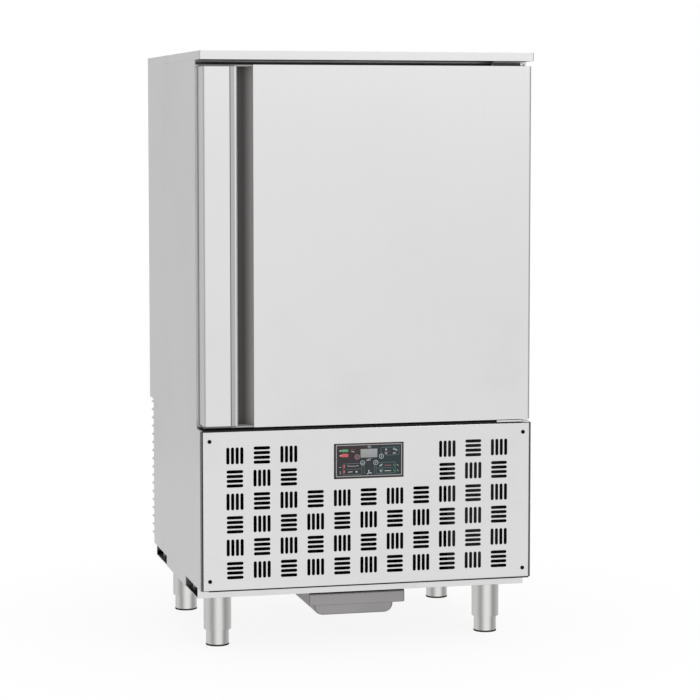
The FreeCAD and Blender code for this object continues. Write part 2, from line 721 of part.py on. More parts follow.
def evaporator_motors():
    reach = FAN_RADIUS + FAN_TIP_GAP + 6
    motors = []
    for centre in fan_centres():
        plate_back = centre + V(0, SHEET, 0)
        motors.append(fan_motor(plate_back, reach, FAN_WIDTH + 14))
    return Part.makeCompound(motors)


def evaporator_fan_upper():
    return fan_rotor(fan_centres()[1] + V(0, 4, 0), FAN_RADIUS)


def evaporator_fan_lower():
    return fan_rotor(fan_centres()[0] + V(0, 4, 0), FAN_RADIUS)


def finned_block(x, y, z):
    """Coil block: a fin pack grooved front and back between two end plates."""
    block = box(x, y, z)
    count = int((x[1] - x[0]) / FIN_PITCH)
    step = (x[1] - x[0]) / count
    grooves = []
    for index in range(count):
        start = x[0] + index * step + FIN_PITCH / 4
        span = (start, start + step - FIN_PITCH / 2)
        inner_z = (z[0] + FIN_PITCH / 2, z[1] - FIN_PITCH / 2)
        grooves.append(box(span, (y[0], y[0] + FIN_GROOVE), inner_z))
        grooves.append(box(span, (y[1] - FIN_GROOVE, y[1]), inner_z))
    return block.cut(grooves)


def evaporator_coil():
    """Fin pack on the rear wall with its liquid and suction pipes led down through the floor."""
    half = CHAMBER_HALF - EVAPORATOR_SIDE_GAP
    z = (CHAMBER_FLOOR + 2 * BAFFLE_END_GAP, CHAMBER_TOP - 2 * BAFFLE_END_GAP)
    pieces = [finned_block((-half, half), (EVAPORATOR_FRONT, EVAPORATOR_BACK), z)]
    for place, radius in ((LIQUID_PIPE, LIQUID_RADIUS), (SUCTION_PIPE, SUCTION_RADIUS)):
        low = V(place.x, place.y, CABINET_BOTTOM - FIN_PITCH)
        pieces.append(rod(radius, low, V(place.x, place.y, z[0] + 1)))
    hanger_z = (z[1] - 3 * FIN_PITCH, z[1] - 2 * FIN_PITCH)
    for side in (-1, 1):
        edges = sorted((side * half, side * (half - FIN_PITCH)))
        pieces.append(box(edges, (EVAPORATOR_BACK - 1, CHAMBER_BACK), hanger_z))
    return fused(pieces)


def drain_pipe():
    """Flanged pipe from the chamber floor down to just above the condensate pan."""
    top = V(DRAIN.x, DRAIN.y, CHAMBER_FLOOR)
    low = V(DRAIN.x, DRAIN.y, BASE_BOTTOM - 4)
    flange = rod(2 * DRAIN_RADIUS, top, top + V(0, 0, SHEET))
    bore = rod(DRAIN_RADIUS - DRAIN_WALL, low, top + V(0, 0, SHEET))
    return fused([rod(DRAIN_RADIUS, low, top), flange]).cut(bore)


# ---- Door ----
def door_skin():
    """Outer sheet from the grip to the hinge side, folded back at the top, bottom and right."""
    x = (HANDLE_RIGHT, DOOR_HALF)
    outer = box(x, (FRONT, DOOR_BACK - SHEET), (DOOR_BOTTOM, DOOR_TOP))
    outer = round_front_edges(outer, DOOR_EDGE_RADIUS, 1)
    inner_z = (DOOR_BOTTOM + SHEET, DOOR_TOP - SHEET)
    inner = box((x[0], x[1] - SHEET), (FRONT + SHEET, DOOR_BACK), inner_z)
    inner = round_front_edges(inner, DOOR_EDGE_RADIUS - SHEET, 1)
    return outer.cut([inner, bush_space()])


def round_front_edges(shape, radius, side):
    """Fillet the door's upright front edge at the left (side -1) or the right (side 1)."""
    near = DOOR_HALF - 2 * SHEET
    return round_edges(shape, radius, lambda p, d: abs(d.z) > 1 and side * p.x > near and p.y < FRONT + 2)


def bush_space():
    """Cutter for the bushes in the two ends of the door."""
    lower = rod(BUSH_RADIUS, PIVOT + V(0, 0, DOOR_BOTTOM), PIVOT + V(0, 0, DOOR_BOTTOM + BUSH_LENGTH))
    upper = rod(BUSH_RADIUS, PIVOT + V(0, 0, DOOR_TOP - BUSH_LENGTH), PIVOT + V(0, 0, DOOR_TOP))
    return Part.makeCompound([lower, upper])


def door_strip():
    """Folded strip on the latch side, its front flush with the door."""
    x = (-DOOR_HALF, HANDLE_LEFT)
    z = (DOOR_BOTTOM + CAP_HEIGHT, DOOR_TOP - CAP_HEIGHT)
    outer = round_front_edges(box(x, (FRONT, DOOR_BACK - SHEET), z), DOOR_EDGE_RADIUS, -1)
    inner = box((x[0] + SHEET, x[1]), (FRONT + SHEET, DOOR_BACK), z)
    return outer.cut(round_front_edges(inner, DOOR_EDGE_RADIUS - SHEET, -1))


def handle_face():
    """Section of the grip: a rolled lip, an undercut for the fingers, and a scoop up to the door's face."""
    lip_start = HANDLE_LEFT + GROOVE
    roll_x = HANDLE_LIP - LIP_RADIUS
    under = FRONT + 2 * LIP_RADIUS
    floor = FRONT + SCOOP_DEPTH
    undercut = (floor - under) / 2
    rise = SCOOP_RADIUS * math.sqrt(0.5)
    back = FRONT + HANDLE_BACK
    tongue = HANDLE_LEFT - HANDLE_TONGUE
    return face_of(
        (lip_start, FRONT),
        (roll_x, FRONT),
        ((HANDLE_LIP, FRONT + LIP_RADIUS), (roll_x, under)),
        (lip_start, under),
        ((lip_start - undercut, under + undercut), (lip_start, floor)),
        (SCOOP_START, floor),
        ((SCOOP_START + rise, floor - SCOOP_RADIUS + rise), (HANDLE_RIGHT, floor - SCOOP_RADIUS)),
        (HANDLE_RIGHT, back),
        (tongue, back),
        (tongue, FRONT + SHEET),
        (lip_start, FRONT + SHEET),
    )


def door_handle():
    return prism_z(handle_face(), (DOOR_BOTTOM + CAP_HEIGHT, DOOR_TOP - CAP_HEIGHT))


def cap_heights():
    """Bottom and top of each end cap of the grip."""
    return (DOOR_BOTTOM, DOOR_BOTTOM + CAP_HEIGHT), (DOOR_TOP - CAP_HEIGHT, DOOR_TOP)


def handle_caps():
    """Moulded caps that close the strip and the grip at both ends, bevelled at their front edge."""
    x = (-DOOR_HALF, HANDLE_RIGHT)
    caps = []
    for z, outside in zip(cap_heights(), (DOOR_BOTTOM, DOOR_TOP)):
        cap = round_front_edges(box(x, (FRONT, DOOR_BACK - SHEET), z), DOOR_EDGE_RADIUS, -1)
        grip_space = box((HANDLE_LEFT + GROOVE, HANDLE_RIGHT), (FRONT, FRONT + HANDLE_BACK), z)
        bevel_size = (-CAP_HEIGHT / 2, CAP_HEIGHT / 2)
        bevel = box((x[0], HANDLE_LEFT), bevel_size, bevel_size)
        bevel.rotate(V(0, 0, 0), V(1, 0, 0), 45)
        bevel.translate(V(0, FRONT, outside))
        caps.append(cap.cut([grip_space.cut(prism_z(handle_face(), z)), bevel]))
    return Part.makeCompound(caps)


def dish(inset, back):
    """Raised middle of the door's inner sheet, drawn in by inset, up to the plane back."""
    half = CHAMBER_HALF - DISH_INSET - inset
    z = (CHAMBER_FLOOR + DISH_INSET + inset, CHAMBER_TOP - DISH_INSET - inset)
    return frustum_y(half, z, (DOOR_BACK - SHEET, back), DISH_TAPER)


def door_insulation():
    """Foam that fills the door behind the grip, and its raised middle."""
    x = (-DOOR_HALF + SHEET, DOOR_HALF - SHEET)
    foam = box(x, (FRONT + SHEET, DOOR_BACK - SHEET), (DOOR_BOTTOM + SHEET, DOOR_TOP - SHEET))
    for side in (-1, 1):
        foam = round_front_edges(foam, DOOR_EDGE_RADIUS - SHEET, side)
    grip_x = (HANDLE_LEFT - HANDLE_TONGUE, HANDLE_RIGHT)
    cutters = [box(grip_x, (FRONT, FRONT + HANDLE_BACK), (DOOR_BOTTOM, DOOR_TOP)), bush_space()]
    for z in cap_heights():
        cutters.append(box((-DOOR_HALF, HANDLE_RIGHT), (FRONT, DOOR_BACK), z))
    return foam.cut(cutters).fuse(dish(SHEET, DOOR_BACK + DISH_DEPTH - SHEET)).removeSplitter()


def door_liner():
    """Inner sheet of the door with a raised dish that stands in the chamber opening."""
    sheet = box((-DOOR_HALF, DOOR_HALF), (DOOR_BACK - SHEET, DOOR_BACK), (DOOR_BOTTOM, DOOR_TOP))
    raised = sheet.fuse(dish(0, DOOR_BACK + DISH_DEPTH))
    return raised.cut(dish(SHEET, DOOR_BACK + DISH_DEPTH - SHEET)).removeSplitter()


def door_gasket():
    """Magnetic seal: a closed ring with rounded lips that rests on the cabinet's face."""
    half = DOOR_HALF - GASKET_EDGE
    z = (DOOR_BOTTOM + GASKET_EDGE, DOOR_TOP - GASKET_EDGE)
    y = (DOOR_BACK, CABINET_FRONT - GASKET_CLEARANCE)
    outer = box((-half, half), y, z)
    outer = round_edges(outer, GASKET_GAP / 3, lambda p, d: abs(d.y) < 1 and p.y > y[1] - 1)
    inner_half = half - GASKET_WIDTH
    inner = box((-inner_half, inner_half), y, (z[0] + GASKET_WIDTH, z[1] - GASKET_WIDTH))
    return outer.cut(inner)


def hinge_bushes():
    """Flanged bushes pressed into the top and bottom of the door."""
    bushes = []
    for outside, inward in ((DOOR_BOTTOM, 1), (DOOR_TOP, -1)):
        face = PIVOT + V(0, 0, outside)
        inner_end = face + V(0, 0, inward * BUSH_LENGTH)
        rim = face - V(0, 0, inward * BUSH_FLANGE)
        body = fused([rod(BUSH_RADIUS, face, inner_end), rod(BUSH_RADIUS + 2, rim, face)])
        bushes.append(body.cut(rod(PIN_RADIUS + RUN_CLEARANCE, rim, inner_end)))
    return Part.makeCompound(bushes)


def hinge_bracket(outside, outward, plate_left, plate_front):
    """Leaf on the cabinet's face with a plate over the door's end, which carries the pin."""
    near = outside + outward * (BUSH_FLANGE + SLIDE_GAP)
    far = near + outward * BRACKET_THICKNESS
    z = sorted((near, far))
    leaf_x = (CASING_HALF - BRACKET_LEAF, CASING_HALF)
    leaf_z = sorted((far, outside - outward * (GASKET_EDGE - 4)))
    leaf = box(leaf_x, (CABINET_FRONT - BRACKET_LEAF_THICKNESS, CABINET_FRONT), leaf_z)
    nose = rod(BRACKET_NOSE, V(PIVOT.x, PIVOT.y, z[0]), V(PIVOT.x, PIVOT.y, z[1]))
    plate = box((plate_left, PIVOT.x), (plate_front, CABINET_FRONT), z)
    neck = box((PIVOT.x - BRACKET_NOSE, PIVOT.x + BRACKET_NOSE), (PIVOT.y, CABINET_FRONT), z)
    pin_end = PIVOT + V(0, 0, near - outward * PIN_LENGTH)
    pin = rod(PIN_RADIUS, PIVOT + V(0, 0, far), pin_end)
    return fused([leaf, nose, plate, neck, pin])


def hinge_brackets():
    """Upper bracket, and a lower one whose wider plate also shows under the door."""
    upper = hinge_bracket(DOOR_TOP, 1, PIVOT.x - BRACKET_NOSE, PIVOT.y)
    lower_left = PIVOT.x + BRACKET_NOSE - LOWER_PLATE_WIDTH
    return Part.makeCompound([upper, hinge_bracket(DOOR_BOTTOM, -1, lower_left, TOP_FRONT)])


# ---- Slotted front panel and controls ----
def slot_face(x, z, upright):
    """Slot with chamfered round ends, drawn about x and z."""
    radius = SLOT_WIDTH / 2
    tangent = radius * math.tan(math.radians(22.5))
    straight = SLOT_LENGTH / 2 - radius
    corners = []
    for end in (1, -1):
        corners.append((end * (straight + tangent), -end * radius))
        corners.append((end * (straight + radius), -end * tangent))
        corners.append((end * (straight + radius), end * tangent))
        corners.append((end * (straight + tangent), end * radius))
    if upright:
        corners = [(-across, along) for along, across in corners]
    return face_of(*[(x + a, z + b) for a, b in corners])


def slot_cell(x, z, upright):
    """Four parallel slots side by side, all upright or all level."""
    slots = []
    for index in range(SLOTS_PER_CELL):
        shift = (index - (SLOTS_PER_CELL - 1) / 2) * SLOT_STEP
        if upright:
            slots.append(slot_face(x + shift, z, True))
        else:
            slots.append(slot_face(x, z + shift, False))
    return slots


def grille_cells():
    """Centres of the basket-weave cells that the panel has room for beside and below the controls."""
    half = SLOT_LENGTH / 2
    free_width = 2 * (PANEL_HALF - GRILLE_SIDE_MARGIN - half)
    columns = int(free_width / CELL_PITCH_X) + 1
    first_x = -(columns - 1) * CELL_PITCH_X / 2
    first_z = PANEL_TOP - GRILLE_TOP_MARGIN - half
    rows = int((first_z - half - GRILLE_BOTTOM_MARGIN - BASE_TOP) / CELL_PITCH_Z) + 1
    keep_x = BEZEL_WIDTH / 2 + CONTROL_CLEAR_X + half
    keep_z = BEZEL_HEIGHT / 2 + CONTROL_CLEAR_Z + half
    cells = []
    for row in range(rows):
        for column in range(columns):
            x = first_x + column * CELL_PITCH_X
            z = first_z - row * CELL_PITCH_Z
            if abs(x) < keep_x and abs(z - BEZEL_Z) < keep_z:
                continue
            cells.append((x, z, (row + column) % 2 == 0))
    return cells


def screw_places():
    places = []
    for x in (-PANEL_HALF + SCREW_SIDE, PANEL_HALF - SCREW_SIDE):
        for z in (BASE_TOP + SCREW_END, PANEL_TOP - SCREW_END):
            places.append(V(x, PANEL_FRONT, z))
    return places


def screw_holes(y):
    """Clearance cutters for the panel's screws through a sheet whose front is at y."""
    cutters = []
    for place in screw_places():
        front = V(place.x, y - 1, place.z)
        cutters.append(rod(SCREW_RADIUS + SCREW_HOLE_GAP, front, front + V(0, 1 + 2 * SHEET, 0)))
    return cutters


def front_panel():
    """Folded tray that closes the machine compartment, pierced with a basket weave of slots."""
    outer = box((-PANEL_HALF, PANEL_HALF), (PANEL_FRONT, SIDE_FRONT), (BASE_TOP, PANEL_TOP))
    outer = round_edges(outer, FRAME_CORNER, lambda p, d: abs(d.z) > 1 and p.y < PANEL_FRONT + 1)
    inner_x = (-PANEL_HALF + SHEET, PANEL_HALF - SHEET)
    inner_z = (BASE_TOP + SHEET, PANEL_TOP - SHEET)
    inner = box(inner_x, (PANEL_FRONT + SHEET, SIDE_FRONT), inner_z)
    inner = round_edges(inner, FRAME_CORNER - SHEET, lambda p, d: abs(d.z) > 1 and p.y < PANEL_FRONT + 2)
    slots = []
    for x, z, upright in grille_cells():
        slots.extend(slot_cell(x, z, upright))
    depth = (PANEL_FRONT - 1, PANEL_FRONT + 2 * SHEET)
    cutters = [inner, prism_y(Part.makeCompound(slots), depth)]
    cutters.append(bezel_box(-BEZEL_SEAT, depth))
    return outer.cut(cutters + screw_holes(PANEL_FRONT))


def panel_screws():
    """Button-head screws at the panel's corners."""
    screws = []
    for place in screw_places():
        head = rod(SCREW_HEAD_RADIUS, place - V(0, SCREW_HEAD_HEIGHT, 0), place)
        screws.append(fused([head, rod(SCREW_RADIUS, place, place + V(0, SCREW_LENGTH, 0))]))
    return Part.makeCompound(screws)


def bezel_box(grow, y):
    """Block of the control panel's outline, grown by grow, over the pair y."""
    half_x = BEZEL_WIDTH / 2 + grow
    half_z = BEZEL_HEIGHT / 2 + grow
    block = box((-half_x, half_x), y, (BEZEL_Z - half_z, BEZEL_Z + half_z))
    return round_edges(block, BEZEL_RADIUS + grow, along_y)


def control_bezel():
    """Rim on the panel with a closed housing behind it, recessed for the overlay and its keys."""
    front = PANEL_FRONT - BEZEL_PROUD
    rim = bezel_box(0, (front, PANEL_FRONT))
    housing = bezel_box(-BEZEL_SEAT - SLIDE_GAP, (PANEL_FRONT, PANEL_FRONT + BEZEL_BOX_DEPTH))
    recess = bezel_box(-BEZEL_RIM, (front, OVERLAY_FRONT + OVERLAY_THICKNESS))
    well_y = (front, OVERLAY_FRONT + OVERLAY_THICKNESS + 2 * KEY_FLANGE + 1)
    wells = [rod(KEY_RADIUS + 2, V(p.x, well_y[0], p.z), V(p.x, well_y[1], p.z)) for p in key_centres()]
    return fused([rim, housing]).cut([recess] + wells)


def display_z():
    return (BEZEL_Z + DISPLAY_RISE - DISPLAY_HEIGHT / 2, BEZEL_Z + DISPLAY_RISE + DISPLAY_HEIGHT / 2)


def control_overlay():
    """Printed front sheet inside the rim, cut out for the display and the four keys."""
    y = (OVERLAY_FRONT, OVERLAY_FRONT + OVERLAY_THICKNESS)
    sheet = bezel_box(-BEZEL_RIM, y)
    cutters = [box((-DISPLAY_WIDTH / 2, DISPLAY_WIDTH / 2), y, display_z())]
    for place in key_centres():
        cutters.append(rod(KEY_RADIUS + KEY_GAP, V(place.x, y[0], place.z), V(place.x, y[1], place.z)))
    return sheet.cut(cutters)


def display_window():
    y = (OVERLAY_FRONT, OVERLAY_FRONT + OVERLAY_THICKNESS)
    return box((-DISPLAY_WIDTH / 2, DISPLAY_WIDTH / 2), y, display_z())


def key_centres():
    return [V(x, OVERLAY_FRONT, BEZEL_Z + z) for x, z in KEY_PLACES]


def key(index):
    """Round key, kept behind the overlay by its flange."""
    centre = key_centres()[index]
    overlay_back = centre + V(0, OVERLAY_THICKNESS + KEY_GAP, 0)
    cap = rod(KEY_RADIUS, centre - V(0, KEY_PROUD, 0), overlay_back)
    return fused([cap, rod(KEY_RADIUS + 1, overlay_back, overlay_back + V(0, KEY_FLANGE, 0))])


# ---- Machine compartment ----
def condenser_coil():
    x = (CONDENSER_LEFT, CONDENSER_RIGHT)
    return finned_block(x, (CONDENSER_FRONT, CONDENSER_BACK), (BASE_TOP, BASE_TOP + CONDENSER_HEIGHT))


def condenser_shroud():
    """Cowl behind the condenser with a round mouth for the fan."""
    x = (CONDENSER_LEFT, SHROUD_RIGHT)
    z = (BASE_TOP, BASE_TOP + CONDENSER_HEIGHT)
    outer = box(x, (CONDENSER_BACK, SHROUD_BACK), z)
    inner_y = (CONDENSER_BACK, SHROUD_BACK - SHEET)
    inner = box((x[0] + SHEET, x[1] - SHEET), inner_y, (z[0] + SHEET, z[1] - SHEET))
    mouth = V(SHROUD_X, SHROUD_BACK - 2 * SHEET, SHROUD_Z)
    radius = CONDENSER_FAN_RADIUS + FAN_TIP_GAP
    return outer.cut([inner, rod(radius, mouth, mouth + V(0, 3 * SHEET, 0))])


def condenser_motor():
    centre = V(SHROUD_X, SHROUD_BACK, SHROUD_Z)
    return fan_motor(centre, CONDENSER_FAN_RADIUS + FAN_TIP_GAP + 5, 14)


def condenser_fan():
    return fan_rotor(V(SHROUD_X, SHROUD_BACK - FAN_WIDTH + 8, SHROUD_Z), CONDENSER_FAN_RADIUS)


def compressor():
    """Hermetic compressor: a domed can with a seam, on a foot plate, with a terminal cover and pipe stubs."""
    r = COMPRESSOR_RADIUS
    low = BASE_TOP + MOUNT_HEIGHT
    body_low = low + COMPRESSOR_PLATE_THICKNESS
    top = body_low + COMPRESSOR_HEIGHT
    dome = r / 2
    knee = r / 8
    seam = (body_low + top) / 2
    half_section = face_of(
        (0, body_low),
        (r - dome, body_low),
        (r - knee, body_low + dome / 2),
        (r, body_low + dome),
        (r, seam),
        (r + COMPRESSOR_SEAM, seam),
        (r + COMPRESSOR_SEAM, seam + 2 * COMPRESSOR_SEAM),
        (r, seam + 2 * COMPRESSOR_SEAM),
        (r, top - dome),
        (r - knee, top - dome / 2),
        (r - dome, top),
        (0, top),
    )
    can = half_section.revolve(V(0, 0, 0), V(0, 1, 0), 360)
    can.rotate(V(0, 0, 0), V(1, 0, 0), 90)
    can.translate(V(COMPRESSOR_X, COMPRESSOR_Y, 0))
    half = COMPRESSOR_PLATE / 2
    plate_x = (COMPRESSOR_X - half, COMPRESSOR_X + half)
    plate = box(plate_x, (COMPRESSOR_Y - half, COMPRESSOR_Y + half), (low, body_low + 1))
    cover_x = (COMPRESSOR_X + r - TERMINAL_DEPTH / 3, COMPRESSOR_X + r + TERMINAL_DEPTH)
    cover_y = (COMPRESSOR_Y - TERMINAL_WIDTH / 2, COMPRESSOR_Y + TERMINAL_WIDTH / 2)
    terminal = box(cover_x, cover_y, (seam - TERMINAL_WIDTH, seam))
    discharge = V(COMPRESSOR_X, COMPRESSOR_Y, BASE_TOP + DISCHARGE_RISE)
    suction = V(COMPRESSOR_X, COMPRESSOR_Y, BASE_TOP + SUCTION_RISE)
    stubs = [
        rod(LIQUID_RADIUS + 2, discharge, discharge - V(0, r + STUB_LENGTH, 0)),
        rod(SUCTION_RADIUS + 2, suction, suction + V(0, r + STUB_LENGTH, 0)),
    ]
    return fused([can, plate, terminal] + stubs)


def compressor_mounts():
    """Four rubber feet under the compressor's plate."""
    reach = COMPRESSOR_PLATE / 2 - MOUNT_RADIUS
    feet = []
    for x in (-reach, reach):
        for y in (-reach, reach):
            low = V(COMPRESSOR_X + x, COMPRESSOR_Y + y, BASE_TOP)
            feet.append(rod(MOUNT_RADIUS, low, low + V(0, 0, MOUNT_HEIGHT)))
    return Part.makeCompound(feet)


def liquid_receiver():
    """Upright receiver with chamfered ends on a small foot."""
    low = V(RECEIVER_X, RECEIVER_Y, BASE_TOP)
    can_low = low + V(0, 0, RECEIVER_FOOT)
    foot = rod(RECEIVER_RADIUS / 2, low, can_low)
    shape = rod(RECEIVER_RADIUS, can_low, low + V(0, 0, RECEIVER_HEIGHT))
    rims = [edge for edge in shape.Edges if isinstance(edge.Curve, Part.Circle)]
    return fused([shape.makeChamfer(RECEIVER_RADIUS / 4, rims), foot])


def filter_drier():
    """Drier in the liquid line, with a cone at each end, in the cabinet's middle or left of it."""
    cone = DRIER_RADIUS
    start = V(DRIER_X - DRIER_LENGTH / 2, RECEIVER_Y, PIPE_LEVEL)
    barrel_end = start + V(DRIER_LENGTH - cone, 0, 0)
    barrel = rod(DRIER_RADIUS, start + V(cone, 0, 0), barrel_end)
    left = Part.makeCone(LIQUID_RADIUS + 2, DRIER_RADIUS, cone, start, V(1, 0, 0))
    right = Part.makeCone(DRIER_RADIUS, LIQUID_RADIUS + 2, cone, barrel_end, V(1, 0, 0))
    return fused([barrel, left, right])


def refrigerant_pipes():
    """Copper lines: hot gas, condensed liquid, receiver to drier, drier to evaporator, suction."""
    gas_z = BASE_TOP + DISCHARGE_RISE
    liquid_z = BASE_TOP + LIQUID_RISE
    suction_z = BASE_TOP + SUCTION_RISE
    inlet_z = BASE_TOP + CONDENSER_HEIGHT - FIN_PITCH / 4
    outlet_z = BASE_TOP + FIN_PITCH / 4
    shell = COMPRESSOR_RADIUS + STUB_LENGTH
    rise_y = COMPRESSOR_Y - shell - 4 * PIPE_BEND
    drop_y = (CONDENSER_BACK + RECEIVER_Y - RECEIVER_RADIUS) / 2
    stub_z = CABINET_BOTTOM - FIN_PITCH
    half = DRIER_LENGTH / 2
    hot_gas = [
        V(COMPRESSOR_X, COMPRESSOR_Y - shell, gas_z),
        V(COMPRESSOR_X, rise_y, gas_z),
        V(COMPRESSOR_X, rise_y, inlet_z),
        V(COMPRESSOR_X, CONDENSER_BACK, inlet_z),
    ]
    condensed = [
        V(RECEIVER_X, CONDENSER_BACK, outlet_z),
        V(RECEIVER_X, drop_y, outlet_z),
        V(RECEIVER_X, drop_y, liquid_z),
        V(RECEIVER_X, RECEIVER_Y - RECEIVER_RADIUS, liquid_z),
    ]
    to_drier = [
        V(RECEIVER_X, RECEIVER_Y, BASE_TOP + RECEIVER_HEIGHT),
        V(RECEIVER_X, RECEIVER_Y, PIPE_LEVEL),
        V(DRIER_X + half, RECEIVER_Y, PIPE_LEVEL),
    ]
    to_evaporator = [
        V(DRIER_X - half, RECEIVER_Y, PIPE_LEVEL),
        V(LIQUID_PIPE.x, RECEIVER_Y, PIPE_LEVEL),
        V(LIQUID_PIPE.x, LIQUID_PIPE.y, PIPE_LEVEL),
        V(LIQUID_PIPE.x, LIQUID_PIPE.y, stub_z),
    ]
    suction = [
        V(SUCTION_PIPE.x, SUCTION_PIPE.y, stub_z),
        V(SUCTION_PIPE.x, SUCTION_PIPE.y, suction_z),
        V(COMPRESSOR_X, SUCTION_PIPE.y, suction_z),
        V(COMPRESSOR_X, COMPRESSOR_Y + shell, suction_z),
    ]
    lines = [pipe(LIQUID_RADIUS, route) for route in (hot_gas, condensed, to_drier, to_evaporator)]
    return Part.makeCompound(lines + [pipe(SUCTION_RADIUS, suction)])


def electrical_box():
    """Closed switch box on the right side sheet, with a lid over its front."""
    x = (CASING_HALF - BOX_WIDTH, CASING_HALF)
    y = (CONDENSER_FRONT, CONDENSER_FRONT + BOX_DEPTH)
    z = (BASE_TOP + BOX_FLOOR_GAP, BASE_TOP + BOX_FLOOR_GAP + BOX_HEIGHT)
    case = box(x, (y[0] + BOX_LID, y[1]), z)
    lid_x = (x[0] - BOX_LID_LAP, x[1] - BOX_LID_LAP)
    lid = box(lid_x, (y[0], y[0] + BOX_LID), (z[0] - BOX_LID_LAP, z[1] + BOX_LID_LAP))
    return fused([case, round_edges(lid, BEZEL_RADIUS, along_y)])


# ---- Legs, feet and condensate pan ----
def leg_places():
    """Leg axes in the order front left, front right, rear left, rear right."""
    return [(x, y) for y in LEG_Y for x in (-LEG_X, LEG_X)]


def leg_sleeve(x, y):
    """Outer tube under a square plate, bored for the foot and threaded above it for the stem."""
    base = V(x, y, SLEEVE_BOTTOM)
    plate_low = BASE_BOTTOM - LEG_PLATE_THICKNESS
    half = LEG_PLATE / 2
    plate = box((x - half, x + half), (y - half, y + half), (plate_low, BASE_BOTTOM))
    top = V(x, y, plate_low)
    bore = rod(SLEEVE_RADIUS - SLEEVE_WALL, base, top - V(0, 0, SLEEVE_NUT))
    thread = rod(STEM_RADIUS + THREAD_GAP, base, V(x, y, BASE_BOTTOM))
    return fused([rod(SLEEVE_RADIUS, base, top), plate]).cut([bore, thread])


def leg_sleeves():
    return Part.makeCompound([leg_sleeve(x, y) for x, y in leg_places()])


def foot(index):
    """Adjustable foot: a barrel that slides in the sleeve, on a stem that screws into it."""
    x, y = leg_places()[index]
    radius = SLEEVE_RADIUS - SLEEVE_WALL - SLIDE_GAP
    barrel = rod(radius, V(x, y, PAD_HEIGHT), V(x, y, FOOT_TOP))
    socket = rod(radius - SLEEVE_WALL, V(x, y, PAD_HEIGHT), V(x, y, PAD_HEIGHT + PAD_SPIGOT))
    stem = rod(STEM_RADIUS, V(x, y, FOOT_TOP), V(x, y, STEM_TOP))
    return fused([barrel, stem]).cut(socket)


def foot_pad(index):
    """Black pad with a spigot that fills the socket in the foot."""
    x, y = leg_places()[index]
    radius = SLEEVE_RADIUS - SLEEVE_WALL - SLIDE_GAP
    disc = rod(radius + 0.5, V(x, y, 0), V(x, y, PAD_HEIGHT))
    spigot = rod(radius - SLEEVE_WALL, V(x, y, PAD_HEIGHT), V(x, y, PAD_HEIGHT + PAD_SPIGOT))
    return fused([disc, spigot])


def pan_form(inset):
    """Stepped pan: a wide rim above a narrower rounded body, shrunk by inset on every wall and the floor."""
    half_rim = PAN_RIM_WIDTH / 2 - inset
    half_body = PAN_BODY_WIDTH / 2 - inset
    step = PAN_TOP - PAN_RIM_HEIGHT
    rim_y = (PAN_FRONT + inset, PAN_FRONT + PAN_LENGTH - inset)
    body_y = (rim_y[0] + PAN_BODY_SETBACK, rim_y[1] - PAN_BODY_SETBACK)
    rim = box((-half_rim, half_rim), rim_y, (step + inset, PAN_TOP))
    body = box((-half_body, half_body), body_y, (step - PAN_BODY_HEIGHT + inset, step + 2 * PAN_WALL))
    body = round_edges(body, PAN_CORNER - inset, lambda p, d: p.z < step)
    return rim.fuse(body)


def condensate_pan():
    """Drawn pan, hooked over its rails by a flange along each side."""
    shell = pan_form(0).cut(pan_form(PAN_WALL))
    half = PAN_RIM_WIDTH / 2
    flange_z = PAN_TOP + RAIL_THICKNESS + 2 * SLIDE_GAP + 2
    y = (PAN_FRONT, PAN_FRONT + PAN_LENGTH)
    hooks = []
    for side in (-1, 1):
        wall = sorted((side * half, side * (half - PAN_WALL)))
        lip = sorted((side * half, side * (half - PAN_WALL - RAIL_LIP + 1)))
        hooks.append(box(wall, y, (PAN_TOP, flange_z + PAN_WALL)))
        hooks.append(box(lip, y, (flange_z, flange_z + PAN_WALL)))
    return fused([shell] + hooks)


def pan_rails():
    """Two angle rails under the base, whose lips turn outwards under the pan's flanges."""
    flange_z = PAN_TOP + RAIL_THICKNESS + 2 * SLIDE_GAP + 2
    lip_top = flange_z - SLIDE_GAP
    outer = PAN_RIM_WIDTH / 2 - PAN_WALL - SLIDE_GAP
    web = outer - RAIL_LIP
    y = (PAN_FRONT + 2 * PAN_WALL, PAN_FRONT + PAN_LENGTH - 2 * PAN_WALL)
    rails = []
    for side in (-1, 1):
        upright = sorted((side * web, side * (web - RAIL_THICKNESS)))
        lip = sorted((side * (web - RAIL_THICKNESS), side * outer))
        web_piece = box(upright, y, (lip_top - RAIL_THICKNESS, BASE_BOTTOM))
        rails.append(fused([web_piece, box(lip, y, (lip_top - RAIL_THICKNESS, lip_top))]))
    return Part.makeCompound(rails)


# ---- Export ----
LEG_NAMES = ("front_left", "front_right", "rear_left", "rear_right")


def all_nodes():
    """Every sub-part by its node name."""
    makers = (
        top_cover, side_panel_left, side_panel_right, rear_casing, rear_louvre_panel, cable_gland,
        compartment_floor, base_channels, front_frame, thermal_break, chamber_liner, cabinet_insulation,
        rack_posts, tray_runners, fan_baffle, fan_guards, evaporator_motors, evaporator_fan_upper,
        evaporator_fan_lower, evaporator_coil, drain_pipe, door_skin, door_strip, door_handle, handle_caps,
        door_insulation, door_liner, door_gasket, hinge_bushes, hinge_brackets, front_panel, panel_screws,
        control_bezel, control_overlay, display_window, condenser_coil, condenser_shroud, condenser_motor,
        condenser_fan, compressor, compressor_mounts, liquid_receiver, filter_drier, refrigerant_pipes,
        electrical_box, leg_sleeves, condensate_pan, pan_rails,
    )
    nodes = {maker.__name__: maker() for maker in makers}
    for index in range(len(KEY_PLACES)):
        nodes["key_%d" % (index + 1)] = key(index)
    for index, name in enumerate(LEG_NAMES):
        nodes["foot_" + name] = foot(index)
        nodes["pad_" + name] = foot_pad(index)
    return nodes


